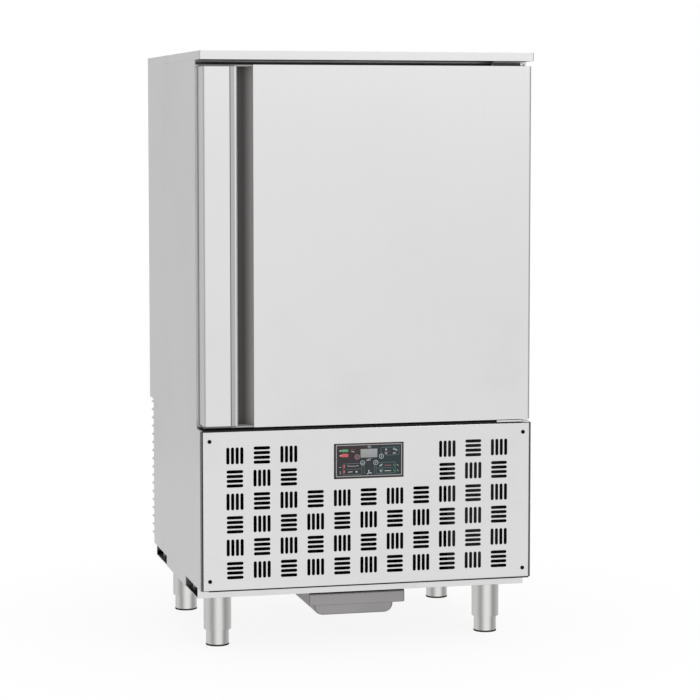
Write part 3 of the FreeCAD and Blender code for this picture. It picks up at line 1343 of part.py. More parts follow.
def main():
    os.makedirs("parts", exist_ok=True)
    for name, shape in all_nodes().items():
        if not shape.isValid():
            raise ValueError("%s is not a valid shape" % name)
        shape.exportStep(os.path.join("parts", name + ".step"))


main()
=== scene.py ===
import math

import bmesh
import bpy
from mathutils import Matrix, Vector


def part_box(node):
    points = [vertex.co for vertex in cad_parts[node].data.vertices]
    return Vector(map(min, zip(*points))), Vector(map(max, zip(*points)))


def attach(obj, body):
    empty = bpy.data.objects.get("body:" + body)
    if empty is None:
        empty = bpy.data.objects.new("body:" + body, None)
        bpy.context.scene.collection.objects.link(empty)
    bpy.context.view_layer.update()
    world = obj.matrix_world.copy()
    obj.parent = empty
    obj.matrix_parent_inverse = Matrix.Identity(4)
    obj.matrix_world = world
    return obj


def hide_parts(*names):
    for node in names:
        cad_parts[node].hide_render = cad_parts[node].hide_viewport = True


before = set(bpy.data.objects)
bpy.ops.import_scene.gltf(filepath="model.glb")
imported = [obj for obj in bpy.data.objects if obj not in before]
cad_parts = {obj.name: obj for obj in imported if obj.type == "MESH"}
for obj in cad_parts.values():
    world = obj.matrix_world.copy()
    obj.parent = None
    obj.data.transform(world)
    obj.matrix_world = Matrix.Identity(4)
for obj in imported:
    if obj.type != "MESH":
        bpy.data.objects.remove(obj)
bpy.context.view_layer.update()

MM = 0.001

# ---- Camera, as fitted to the photograph ----
CAMERA_PLACE = (-1.29285, -5.42464, 1.16980)
CAMERA_YAW = 13.821
CAMERA_PITCH = -4.622
SENSOR = 36.0
FOCAL_PIXELS = 2401.3
IMAGE_SIZE = 700.0
AXIS_ROW = 315.0

# ---- Studio ----
# Compass of the studio's brightness, from the front (-Y) at 0 and 1 by way of the left at 0.25 and the back at 0.5.
STUDIO_RING = ((0.0, 1.0), (0.033, 0.98), (0.078, 0.78), (0.123, 0.48), (0.17, 0.34), (0.22, 0.46), (0.27, 0.66),
               (0.35, 0.70), (0.417, 0.61), (0.5, 0.75), (0.6, 0.58), (0.68, 0.52), (0.7125, 0.46), (0.751, 0.38),
               (0.80, 0.30), (0.843, 0.34), (0.885, 0.66), (0.93, 0.95), (0.97, 1.0), (1.0, 1.0))
# Share of the white background that polished steel shows, on the same compass.
BACKDROP_RING = ((0.0, 0.0), (0.475, 0.0), (0.492, 1.0), (0.508, 1.0), (0.525, 0.0), (1.0, 0.0))
STUDIO_RISE = (0.45, 0.9)
STUDIO_OVERHEAD = (0.9, 0.9, 0.9)
FLOOR_FADE = (0.35, 1.05)
FLOOR_WHITE = 0.88
FLOOR_CLEAR_TO_MIRRORS = 0.85
FLOOR_RADIUS = 3.0
LAMP_PLACE = (2.2, -3.6, 3.4)
LAMP_TARGET = (0, 0, 0.8)
LAMP_SIZE = 2.6
LAMP_WATTS = 60

# ---- Colours, linear ----
WHITE = (1.0, 1.0, 1.0)
STEEL = (0.80, 0.795, 0.795)
INNER_STEEL = (0.74, 0.745, 0.745)
LEG_STEEL = (0.76, 0.755, 0.75)
# Pan steel darkened as painted shade, for the pan that hangs in shade under the cabinet.
PAN_STEEL_SHADED = (0.355, 0.345, 0.348)
BOLT_STEEL = (0.55, 0.55, 0.55)
BLACK = (0.012, 0.012, 0.013)
DUST = (0.10, 0.097, 0.095)
# Painted shade colours: near black for spaces that no light reaches, dim grey for the channels.
UNLIT = (0.055, 0.055, 0.055)
DIM = (0.32, 0.32, 0.32)
# Grip colours: painted shade at the scoop's floor rising to painted light up its side, a painted highlight on the
# lip's roll from grey to bright, and a dark seam joint.
SCOOP_SHADE_AND_GRAIN = (0.062, 0.057, 0.058)
SCOOP_LIT = (0.72, 0.70, 0.70)
SEAM_GREY = (0.16, 0.16, 0.16)
LIP_SHADE = (0.50, 0.50, 0.50)
LIP_HIGHLIGHT = (0.94, 0.94, 0.94)
INKS = {"ink_line": (0.16, 0.24, 0.23), "ink_white": (0.62, 0.64, 0.64), "ink_pale": (0.46, 0.54, 0.54),
        "ink_green": (0.11, 0.36, 0.17), "ink_red": (0.66, 0.10, 0.13), "ink_rose": (0.36, 0.14, 0.17),
        "ink_rose_key": (0.55, 0.26, 0.32)}

# How far the steel's grain is drawn out: waves per metre along X, Y and Z.
VERTICAL = (1500, 1500, 9)
LEVEL = (9, 1500, 1500)
LENGTHWISE = (1500, 9, 1500)
TURNED = (14, 14, 1700)
GRIP_GRAIN = (900, 900, 5)
DISPLAY_GRAIN = (1600, 1600, 400)

# ---- Planes and sizes of the object, mm, as in the CAD ----
DOOR_FRONT = -350.0
OVERLAY_FRONT = -344.0
PANEL_FRONT = -342.0
HINGE_COVER = -338.0
SIDE_FRONT = -332.0
DOOR_BACK = -300.0
CABINET_FACE = -290.0
BAFFLE_FRONT = 150.0
COMPARTMENT_REAR = 295.0
REAR = 350.0
CHANNEL_BOTTOM = 124.0
FLOOR_UNDER = 146.5
FLOOR_TOP = 148.0
PANEL_TOP = 499.0
CABINET_BOTTOM = 500.0
DOOR_BOTTOM = 507.0
DOOR_TOP = 1290.0
PANEL_HALF = 372.0
OPENING_RIGHT = 293.0
CHANNELS = ((-289.0, -139.0), (115.0, 265.0))
KEYS = ((-27.0, 433.5), (28.0, 433.5), (-14.5, 420.0), (15.5, 420.0))
FANS = (("lower", 751.0), ("upper", 1051.0))

# Grip profile, from the lip at the left to the scoop's right edge.
GRIP_LEFT, GRIP_RIGHT = -328.0, -258.5
GRIP_DEPTH = 38.0
LIP_START = -309.0
LIP_TURN = (-300.0, -298.0)
LIP_END = (-292.7, -292.2)
SEAM_SPAN = (-308.9, -308.0)
ROLL_X, ROLL_RADIUS = -299.0, 6.5
UNDERCUT_RADIUS = 8.5
SCOOP_RADIUS, SCOOP_DEPTH = 26.0, 30.0
SCOOP_SPAN = (-277.0, -259.0)
SCOOP_POWER = 1.7

# Seals: (depth before the face, height) of the strips over the door.
LINTEL_SEAL = ((0, 1290.6), (1.6, 1291), (2.2, 1293), (1.4, 1294), (2.2, 1295), (2.2, 1296.6), (0, 1296.6))
LINTEL_TRIM = ((0, 1296.8), (1.2, 1296.8), (1.8, 1297.4), (1.8, 1300.3), (1.2, 1300.9), (0, 1300.9))
SILL_DEPTH, SILL_LOW, SILL_HIGH = 41.4, 1.0, 2.6
SILL_RIBS, SILL_PITCH, SILL_GROOVE = 8, 4.8, 0.8
# Door seal: (inset, depth behind the door's liner).
DOOR_SEAL = ((0, 0), (0.4, 2.2), (2.2, 3.2), (1.2, 4.6), (0.3, 6.4), (0.9, 8.4), (2.6, 9.3), (5, 9.7), (13, 9.7),
             (14.4, 8.9), (14.8, 6.4), (16.2, 5.0), (18, 6.2), (19.5, 7.4), (21.6, 7.0), (23.4, 4.8), (24, 2.4),
             (24, 0))

# Legs: (radius, height) of the sleeve.
LEG_PLACES = (("front_left", (-313.0, -197.0)), ("front_right", (313.0, -197.0)),
              ("rear_left", (-313.0, 210.0)), ("rear_right", (313.0, 210.0)))
SLEEVE = ((27.0, 36), (29.9, 36), (30.6, 36.3), (31, 37), (31, 119.4), (31.6, 120.3), (33.2, 121), (8.5, 121),
          (8.5, 96), (26, 96), (26, 37))
PLATE_HALF, PLATE_BOTTOM, BOLT_SPREAD = 50, 121, 40
BOLT_FLATS, BOLT_RADIUS, NUT_TOP = 13, 4, 119.8
BARREL_RADIUS, ROD_RADIUS, THREAD_PITCH = 25.7, 8, 2.4

# Screws, gland, drain and fan guards.
SCREW_X = 355.7
SCREW_Z = (170.0, 477.0)
HINGE_SCREW_X = (308.0, 340.0, 362.0)
HINGE_SCREW_Z = (1283.0, 511.5)
GLAND_X, GLAND_Z = 336.5, 200.0
GLAND_NUT = ((5.4, 0), (10.4, 0), (10.9, 0.6), (10.9, 6.4), (10.2, 8.2), (8.6, 9.6), (7.4, 9.9), (5.4, 9.9))
GLAND_BODY, GLAND_RIBS = 6, 12
DRAIN_Y, DRAIN_Z, DRAIN_RADIUS = -105.0, 561.0, 16
STRAINER_PITCH = 4.2
GUARD_RADIUS, GUARD_RINGS, GUARD_PITCH = 136, 8, 14.5

# Front panel: slots, opening for the controls, folds.
GRILLE_COLUMNS = 11
GRILLE_ROWS = 6
GRILLE_TOP = 444.7
CELL_PITCH_X = 60.0
CELL_PITCH_Z = 50.4
SLOT_STEP = 10.3
SLOTS_PER_CELL = 4
SLOT_LENGTH = 37.2
SLOT_WIDTH = 7.1
BEZEL_Z = 424.5
CONTROLS_OPENING = (75.0, 35.5)
CONTROLS_CLEAR = (136.0, 70.5)
PANEL_FOLD = 4.0

# Condensate pan.
PAN_FRONT, PAN_LENGTH = -237.0, 330.0
PAN_TOP, PAN_BOTTOM = 111.0, 55.0
PAN_RIM_HALF, PAN_RIM_HEIGHT, PAN_ROLL, PAN_ROLL_INSET = 111.0, 27.0, 5.0, 2.8
PAN_BODY_HALF, PAN_SETBACK = 92.0, 32.0
PAN_SIDE_RADIUS, PAN_END_RADIUS = 20.0, 4.0
PAN_WALL = 2.0

# Spaces that no light reaches, where the steel is painted near black as shade: lowest and highest corners.
UNLIT_SPACES = (
    ((-371.4, PANEL_FRONT + 0.6, FLOOR_TOP + 0.6), (371.4, SIDE_FRONT + 0.2, PANEL_TOP - 0.6)),
    ((-374.4, SIDE_FRONT + 0.2, FLOOR_TOP - 0.6), (374.4, COMPARTMENT_REAR + 0.7, CABINET_BOTTOM + 0.4)),
)
# Spaces that little light reaches, where the steel is painted dim grey as shade.
DIM_SPACES = tuple(((-373.6, low + 1.2, CHANNEL_BOTTOM + 1.2), (373.6, high - 1.2, FLOOR_UNDER + 0.4))
                   for low, high in CHANNELS)

# Finish of the CAD nodes that stay in view: material, size of the rounded folds in mm, nodes.
FINISHES = (
    ("outer", 0, "rear_casing"),
    ("side", 0.3, "side_panel_left side_panel_right"),
    ("outer", 0.3, "front_frame door_skin door_strip"),
    ("level", 0.45, "top_cover"),
    ("level", 0.3, "rear_louvre_panel"),
    ("level", 0.4, "base_channels compartment_floor"),
    ("inner", 0.3, "chamber_liner rack_posts tray_runners fan_baffle door_liner pan_rails"),
    ("inner", 0.6, "hinge_brackets"),
    ("inner", 0, "drain_pipe"),
    ("condenser_fins", 0, "condenser_coil"),
    ("evaporator_fins", 0, "evaporator_coil"),
    ("zinc", 0.3, "condenser_shroud evaporator_motors condenser_motor"),
    ("black_enamel", 0.6, "compressor liquid_receiver"),
    ("box_enamel", 0.6, "electrical_box"),
    ("copper", 0, "refrigerant_pipes filter_drier"),
    ("foam", 0, "cabinet_insulation door_insulation"),
    ("black_plastic", 0.4, "evaporator_fan_upper evaporator_fan_lower condenser_fan"),
    ("black_plastic", 0.8, "control_bezel"),
    ("grey_plastic", 0.4, "thermal_break handle_caps hinge_bushes"),
    ("rubber", 0, "compressor_mounts"),
    ("pad_rubber", 0.5, "pad_front_left pad_front_right pad_rear_left pad_rear_right"),
    ("film", 0, "control_overlay"),
    ("display", 0, "display_window"),
    ("film", 0.25, "key_1 key_2 key_3 key_4"),
)

# Print of the control panel. Strokes: width, then places in X and Z. Blocks: two corners and the corners' radius.
LINE_STROKES = (
    (0.7, (27.5, 439.5), (27.5, 453), (68.5, 453), (68.5, 435.4), (39.5, 435.4)),
    (0.7, (-20.5, 419.4), (-58.6, 418.6), (-58.6, 394.4), (-16.4, 394.4), (-16.4, 413.4)),
    (0.6, (-51.5, 406.6), (-18, 406.6)),
    (0.7, (-11, 415), (-11, 396.6), (-7.5, 396.6)),
    (0.7, (11.8, 415), (11.8, 396.6), (7.5, 396.6)),
    (0.7, (21.6, 419.6), (60.4, 419.6), (60.4, 395.4), (16.2, 395.4), (16.2, 413.4)),
    (0.6, (16.2, 407.2), (54, 407.2)),
)
PICTOGRAM_STROKES = (
    (0.8, (-3, 454.6), (5.4, 455.6)),
    (1.1, (-4.4, 427), (4.6, 428.4)),
    (0.7, (-6, 424.8), (3, 425.2)),
    (1.0, (36.6, 440.6), (41.4, 440.6)),
    (1.0, (37.4, 438.2), (40.8, 438.2)),
    (1.6, (55, 439.4), (60.6, 439.4)),
    (1.0, (-48.6, 414.6), (-44, 413.2), (-38, 413.6), (-30, 412.8), (-26, 415.2), (-24.2, 413)),
    (1.4, (-47, 400.4), (-38, 400.8)),
    (1.0, (23.6, 412), (30.4, 416.6), (28.4, 411.4), (24.4, 412.4)),
    (1.0, (24.4, 402.8), (31.6, 402.4)),
    (1.0, (26.6, 402.6), (25.6, 398.8), (29.6, 398.8)),
    (1.5, (36.4, 400.6), (49.4, 400.6)),
    (0.9, (64.2, 414), (66.6, 411.2)),
    (0.9, (64.2, 402.2), (66.6, 399.4)),
    (1.1, (-66, 411.6), (-63.6, 411.6)),
    (1.1, (-66, 401.4), (-63.6, 401.4)),
    (1.1, (-66, 397.4), (-63.6, 397.4)),
    (1.0, (-40, 445.6), (-33, 444.8)),
    (0.8, (-40, 445.6), (-37.8, 447)),
    (1.3, (-66.4, 448.4), (-62.8, 449.6), (-62.8, 446.6), (-66.4, 447.6)),
    (1.3, (-66.4, 437.2), (-62.8, 439), (-62.8, 435.4), (-66.4, 437)),
)
GREEN_STROKES = (
    (1.2, (56, 414.6), (58.4, 410.2)),
    (1.2, (56, 402.8), (58.4, 398.4)),
)
ROSE_STROKES = (
    (1.4, (36, 412.8), (50, 412.8)),
    (0.6, (36, 443.8), (48, 443.8)),
    (0.6, (-42, 449), (-33, 450.4)),
)
GREEN_BLOCKS = (((-61.8, 445.2), (-47, 451), 1.4),)
RED_BLOCKS = (((-61.8, 433.8), (-46.8, 441.4), 1.6), ((-57.4, 409.2), (-54.4, 416.6), 0.8),
              ((-57.4, 398), (-54.4, 405), 0.8))
PRINTS = (
    ("print_lines", "ink_line", LINE_STROKES, ()),
    ("print_pictograms", "ink_white", PICTOGRAM_STROKES, ()),
    ("print_green", "ink_green", GREEN_STROKES, GREEN_BLOCKS),
    ("print_red", "ink_red", (), RED_BLOCKS),
    ("print_rose", "ink_rose", ROSE_STROKES, ()),
)
# Pictograms: centre, reach and stroke of the snowflakes, centre and radius of the discs.
SNOWFLAKES = (((1.2, 455.2), 3.2, 0.9), ((39, 448), 2.4, 0.7), ((57, 448.6), 2.4, 0.7), ((62, 446.6), 2.6, 0.8))
DISCS = (((0.4, 398.2), 1.2), ((-28.4, 400.6), 2.0))
FAN_CENTRE, FAN_REACH = (0.4, 398.2), 5.6
FAN_BLADE = ((0.15, 0.10), (0.5, 0.36), (0.85, 0.38), (1.0, 0.10), (0.9, -0.12), (0.5, -0.06), (0.15, -0.10))
# Strokes on the keys, from each key's centre.
KEY_GLYPHS = (
    (0.7, (-1.4, 1.4), (1.4, 1.4), (1.4, -1.6), (-1.4, -1.6), (-1.4, 1.4)),
    (1.4, (0, -2.2), (0, 2.2)),
    (1.0, (-2.4, -1.4), (2.2, -1.4), (1.4, 0.8), (-1.2, 0.2)),
    (1.0, (-1.8, -2), (-0.4, 1.8), (2, 0.6), (-0.6, -0.6)),
)
KEY_RING = (5.5, 4.2)
KEY_PROUD = 0.6


# ---- Node helpers ----
class Nodes:
    """A node tree whose nodes are added one call at a time."""

    def __init__(self, tree, coordinates):
        self.tree = tree
        self.place = self.add("ShaderNodeTexCoord").outputs[coordinates]
        self.split = None

    def add(self, kind, **settings):
        made = self.tree.nodes.new(kind)
        for key, value in settings.items():
            setattr(made, key, value)
        return made

    def feed(self, socket, value):
        """Give a socket a number, a colour or what another socket puts out."""
        if isinstance(value, tuple):
            socket.default_value = (*value, 1)
        elif isinstance(value, (int, float)):
            socket.default_value = value
        else:
            self.tree.links.new(value, socket)

    def feed_all(self, node, names, values):
        for name, value in zip(names, values):
            self.feed(node.inputs[name], value)

    def noise(self, scale, detail=3.0, stretch=(1, 1, 1), roughness=0.5):
        mapping = self.add("ShaderNodeMapping")
        mapping.inputs["Scale"].default_value = stretch
        self.feed(mapping.inputs["Vector"], self.place)
        made = self.add("ShaderNodeTexNoise")
        self.feed_all(made, ("Scale", "Detail", "Roughness", "Vector"),
                      (scale, detail, roughness, mapping.outputs["Vector"]))
        return made.outputs["Fac"]

    def cells(self, scale, output="Distance"):
        made = self.add("ShaderNodeTexVoronoi")
        self.feed_all(made, ("Scale", "Vector"), (scale, self.place))
        return made.outputs[output]

    def remap(self, value, low, high, to_low=0.0, to_high=1.0):
        made = self.add("ShaderNodeMapRange")
        self.feed_all(made, ("Value", "From Min", "From Max", "To Min", "To Max"), (value, low, high, to_low, to_high))
        return made.outputs["Result"]

    def math(self, operation, first, second):
        made = self.add("ShaderNodeMath", operation=operation)
        self.feed_all(made, (0, 1), (first, second))
        return made.outputs["Value"]

    def axis(self, name):
        if self.split is None:
            self.split = self.add("ShaderNodeSeparateXYZ")
            self.feed(self.split.inputs["Vector"], self.place)
        return self.split.outputs[name]

    def span(self, name, span, to_low=0.0, to_high=1.0):
        """Remap of one axis between two places in mm."""
        return self.remap(self.axis(name), span[0] * MM, span[1] * MM, to_low, to_high)

    def within(self, low, high):
        """1 inside the block between two corners in mm, else 0."""
        inside = None
        for index, name in enumerate("XYZ"):
            above = self.math("GREATER_THAN", self.axis(name), low[index] * MM)
            below = self.math("LESS_THAN", self.axis(name), high[index] * MM)
            both = self.math("MULTIPLY", above, below)
            inside = both if inside is None else self.math("MULTIPLY", inside, both)
        return inside

    def within_any(self, spaces):
        found = None
        for low, high in spaces:
            inside = self.within(low, high)
            found = inside if found is None else self.math("MAXIMUM", found, inside)
        return found

    def blend(self, factor, first, second):
        """Colour between first and second."""
        made = self.add("ShaderNodeMix", data_type="RGBA")
        self.feed_all(made, ("Factor", 6, 7), (factor, first, second))
        return made.outputs[2]

    def mixed(self, factor, first, second):
        """Shader between first and second."""
        made = self.add("ShaderNodeMixShader")
        self.feed_all(made, ("Fac", 1, 2), (factor, first, second))
        return made.outputs["Shader"]

    def ramp(self, value, stops, interpolation="LINEAR"):
        """Grey that follows (position, level) stops."""
        made = self.add("ShaderNodeValToRGB")
        made.color_ramp.interpolation = interpolation
        elements = made.color_ramp.elements
        while len(elements) < len(stops):
            elements.new(0.5)
        for element, (position, level) in zip(elements, stops):
            element.position = position
            element.color = (level, level, level, 1)
        self.feed(made.inputs["Fac"], value)
        return made.outputs["Color"]


class Shader(Nodes):
    """A material. Its textures use the object's own coordinates, in metres."""

    def __init__(self, name):
        self.material = bpy.data.materials.new(name)
        self.material.use_nodes = True
        super().__init__(self.material.node_tree, "Object")
        self.bsdf = self.tree.nodes["Principled BSDF"]

    def bump(self, height, depth, strength):
        """Relief of a depth in mm."""
        made = self.add("ShaderNodeBump")
        self.feed_all(made, ("Height", "Distance", "Strength"), (height, depth * MM, strength))
        self.feed(self.bsdf.inputs["Normal"], made.outputs["Normal"])

    def finish(self, colour, roughness, **others):
        """Feed the surface's sockets; underscores in their names stand for spaces."""
        for name, value in {"Base_Color": colour, "Roughness": roughness, **others}.items():
            self.feed(self.bsdf.inputs[name.replace("_", " ")], value)
        return self.material


def times(values, share):
    return tuple(value * share for value in values)


# ---- Materials ----
def brushed_steel(name, colour, grain, roughness=0.34, wear=0.06, relief=0.35, painted_shade=False):
    """Satin stainless: fine grain along one axis, slow colour drift, faint handling marks.

    Steel in spaces that no light reaches is painted near black as shade, and dim grey as shade where little light
    reaches.
    """
    s = Shader(name)
    fine = s.noise(1.0, 4.0, grain)
    streak = s.math("MULTIPLY", fine, s.noise(1.0, 2.0, times(grain, 0.31)))
    marks = s.remap(s.noise(7.0, 5.0, roughness=0.62), 0.52, 0.72)
    tone = s.blend(s.remap(s.noise(2.3, 2.0), 0.3, 0.7), times(colour, 0.975), colour)
    tone = s.blend(s.remap(streak, 0.12, 0.42, 0.10, 0.0), tone, times(colour, 0.86))
    # Painted shade: dim grey in the channels, near black where no light reaches.
    if painted_shade:
        tone = s.blend(s.within_any(DIM_SPACES), tone, DIM)
        tone = s.blend(s.within_any(UNLIT_SPACES), tone, UNLIT)
    sheen = s.remap(fine, 0.25, 0.75, roughness - 0.05, roughness + 0.05)
    s.bump(fine, 0.02, relief)
    return s.finish(tone, s.math("ADD", sheen, s.math("MULTIPLY", marks, wear)), Metallic=1.0, Anisotropic=0.45)


def grip_metal():
    """Profile of the grip: a rolled lip with a painted highlight beside a scoop with painted shade, dark at its floor
    and paler as it rises.
    """
    s = Shader("grip_profile")
    # Painted shade in the scoop: dark at the floor, lighter as it rises.
    scoop = s.blend(s.math("POWER", s.span("X", SCOOP_SPAN), SCOOP_POWER), SCOOP_SHADE_AND_GRAIN, SCOOP_LIT)
    # Painted highlight across the lip's roll.
    lip = s.blend(s.span("X", LIP_TURN), LIP_SHADE, LIP_HIGHLIGHT)
    deep = s.span("Y", (DOOR_FRONT + 9, DOOR_FRONT + 12.5))
    in_scoop = s.math("MAXIMUM", deep, s.span("X", LIP_END))
    tone = s.blend(s.span("X", SEAM_SPAN, 1, 0), s.blend(in_scoop, lip, scoop), SEAM_GREY)
    grain = s.noise(1.0, 4.0, GRIP_GRAIN)
    # Grain streaks darken towards half the colour of the scoop's painted shade.
    tone = s.blend(s.remap(grain, 0.3, 0.7, 0.0, 0.08), tone, times(SCOOP_SHADE_AND_GRAIN, 0.5))
    s.bump(grain, 0.02, 0.3)
    return s.finish(tone, s.remap(grain, 0.25, 0.75, 0.36, 0.48), Metallic=s.remap(in_scoop, 0, 1, 1.0, 0.25),
                    Anisotropic=0.4)


def coating(name, colours, blotches, span, grain, sheen, relief, **others):
    """Two colours parted by blotches, under a grain that lifts the surface and varies its roughness.

    Blotches and grain are noises, span says where the second colour comes in and how far, sheen is the least and the
    most roughness, relief the grain's depth and strength.
    """
    s = Shader(name)
    fine = s.noise(*grain)
    s.bump(fine, *relief)
    return s.finish(s.blend(s.remap(s.noise(*blotches), *span), *colours), s.remap(fine, 0.3, 0.7, *sheen), **others)


def moulded_plastic(name, colour, roughness=0.5):
    """Moulded plastic with a fine spark-eroded grain."""
    return coating(name, (times(colour, 0.85), colour), (9.0, 3.0), (0.35, 0.65), (900.0, 2.0),
                   (roughness - 0.07, roughness + 0.07), (0.08, 0.5))


def enamel(name, colour, roughness=0.35):
    """Sprayed enamel with a slight orange peel and rubbed patches."""
    rubbed = tuple(min(1.0, part * 1.6 + 0.004) for part in colour)
    return coating(name, (colour, rubbed), (14.0, 5.0, (1, 1, 1), 0.65), (0.5, 0.7, 0.0, 0.35), (260.0, 2.0),
                   (roughness - 0.06, roughness + 0.1), (0.15, 0.5), Coat_Weight=0.15, Coat_Roughness=0.2)


def screw_black():
    """Blackened screw heads, with next to no sheen."""
    return coating("screw_black_oxide", ((0.004, 0.004, 0.004), (0.010, 0.010, 0.010)), (1200.0, 3.0), (0.4, 0.7),
                   (1200.0, 3.0), (0.7, 0.9), (0.03, 0.4), Specular_IOR_Level=0.12)


def print_ink(name, colour):
    """Screen-printed ink, a little uneven."""
    return coating(name, (times(colour, 0.82), colour), (900.0, 3.0), (0.35, 0.65), (900.0, 3.0), (0.45, 0.45),
                   (0.02, 0.3))


def rubber(name, colour):
    """Matt rubber with a mould bloom and a little dust."""
    s = Shader(name)
    dust = s.remap(s.noise(40.0, 6.0, roughness=0.7), 0.5, 0.75, 0.0, 0.10)
    s.bump(s.noise(700.0, 3.0), 0.1, 0.5)
    return s.finish(s.blend(dust, colour, DUST), s.remap(s.noise(300.0, 2.0), 0.3, 0.7, 0.62, 0.82))


def zinc_plate():
    """Zinc-plated sheet with its crystal spangle."""
    s = Shader("zinc_plate")
    grey = s.add("ShaderNodeRGBToBW")
    s.feed(grey.inputs["Color"], s.cells(90.0, "Color"))
    spangle = grey.outputs["Val"]
    s.bump(s.noise(500.0, 3.0), 0.05, 0.4)
    return s.finish(s.blend(spangle, (0.44, 0.45, 0.47), (0.64, 0.65, 0.66)), s.remap(spangle, 0, 1, 0.32, 0.5),
                    Metallic=1.0)


def copper():
    """Drawn copper with brown oxide in patches."""
    s = Shader("drawn_copper")
    oxide = s.remap(s.noise(22.0, 6.0, roughness=0.65), 0.45, 0.7, 0.0, 0.8)
    s.bump(s.noise(400.0, 3.0), 0.04, 0.4)
    return s.finish(s.blend(oxide, (0.86, 0.42, 0.24), (0.30, 0.13, 0.07)), s.remap(oxide, 0, 0.8, 0.24, 0.5),
                    Metallic=1.0)


def foam():
    """Cut polyurethane foam with open cells."""
    s = Shader("foam")
    cells = s.cells(700.0)
    s.bump(cells, 0.6, 0.7)
    return s.finish(s.blend(s.remap(cells, 0.0, 0.6), (0.50, 0.38, 0.18), (0.80, 0.68, 0.42)), 0.9)


def fins(name, colour, pitch):
    """Coil fins: thin plates seen edge on, a pitch in mm apart along X; the spaces between them are painted shade,
    near black, and the plates are darker in patches.
    """
    s = Shader(name)
    wave = s.add("ShaderNodeTexWave")
    s.feed_all(wave, ("Scale", "Vector"), (0.314 / (pitch * MM), s.place))
    height = wave.outputs["Fac"]
    dark_patches = s.remap(s.noise(30.0, 4.0), 0.4, 0.65, 0.0, 0.5)
    plate = s.blend(dark_patches, colour, times(colour, 0.6))
    s.bump(height, 1.0, 0.8)
    # Spaces between the plates painted near black as shade.
    return s.finish(s.blend(s.remap(height, 0.2, 0.6), times(colour, 0.05), plate), 0.5, Metallic=0.6)


def overlay_film():
    """Printed film of the control panel: near black, warmer at the left and cooler at the right, under gloss."""
    s = Shader("overlay_film")
    up = s.span("Z", (388, 461))
    cool = s.blend(up, (0.020, 0.034, 0.038), (0.016, 0.032, 0.036))
    warm = s.blend(up, (0.020, 0.024, 0.026), (0.042, 0.024, 0.024))
    tone = s.blend(s.remap(s.span("X", (-75, 75)), 0.25, 0.75), warm, cool)
    speck = s.noise(1500.0, 2.0)
    s.bump(speck, 0.02, 0.3)
    return s.finish(s.blend(s.remap(speck, 0.4, 0.7, 0.0, 0.3), tone, (0.05, 0.055, 0.06)),
                    s.remap(s.noise(60.0, 4.0), 0.35, 0.7, 0.28, 0.4), Specular_IOR_Level=0.3)


def display_film():
    """Dead display: a grey filter over faint cells."""
    s = Shader("display_film")
    low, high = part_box("display_window")
    cells = s.noise(1.0, 1.0, DISPLAY_GRAIN)
    tone = s.blend(s.remap(s.axis("Z"), low.z, high.z), (0.30, 0.30, 0.31), (0.37, 0.37, 0.375))
    s.bump(cells, 0.02, 0.3)
    return s.finish(s.blend(s.remap(cells, 0.35, 0.65, 0.0, 0.25), tone, (0.24, 0.24, 0.25)), 0.3)


def floor_paint():
    """Pale studio floor that the camera and mirrors see as nearly white, and as white away from the object."""
    s = Shader("studio_floor")
    s.finish((0.92, 0.92, 0.92), 0.9, Specular_IOR_Level=0.1)
    length = s.add("ShaderNodeVectorMath", operation="LENGTH")
    s.feed(length.inputs[0], s.place)
    path = s.add("ShaderNodeLightPath")
    seen = s.math("MAXIMUM", path.outputs["Is Camera Ray"], path.outputs["Is Glossy Ray"])
    seen = s.math("MAXIMUM", seen, path.outputs["Is Transmission Ray"])
    away = s.remap(length.outputs["Value"], *FLOOR_FADE, FLOOR_WHITE, 1)
    white = s.add("ShaderNodeEmission").outputs["Emission"]
    pale = s.mixed(s.math("MULTIPLY", seen, away), s.bsdf.outputs["BSDF"], white)
    clear = s.add("ShaderNodeBsdfTransparent").outputs["BSDF"]
    mirrored = s.math("MULTIPLY", path.outputs["Is Glossy Ray"], FLOOR_CLEAR_TO_MIRRORS)
    s.feed(s.tree.nodes["Material Output"].inputs["Surface"], s.mixed(mirrored, pale, clear))
    return s.material


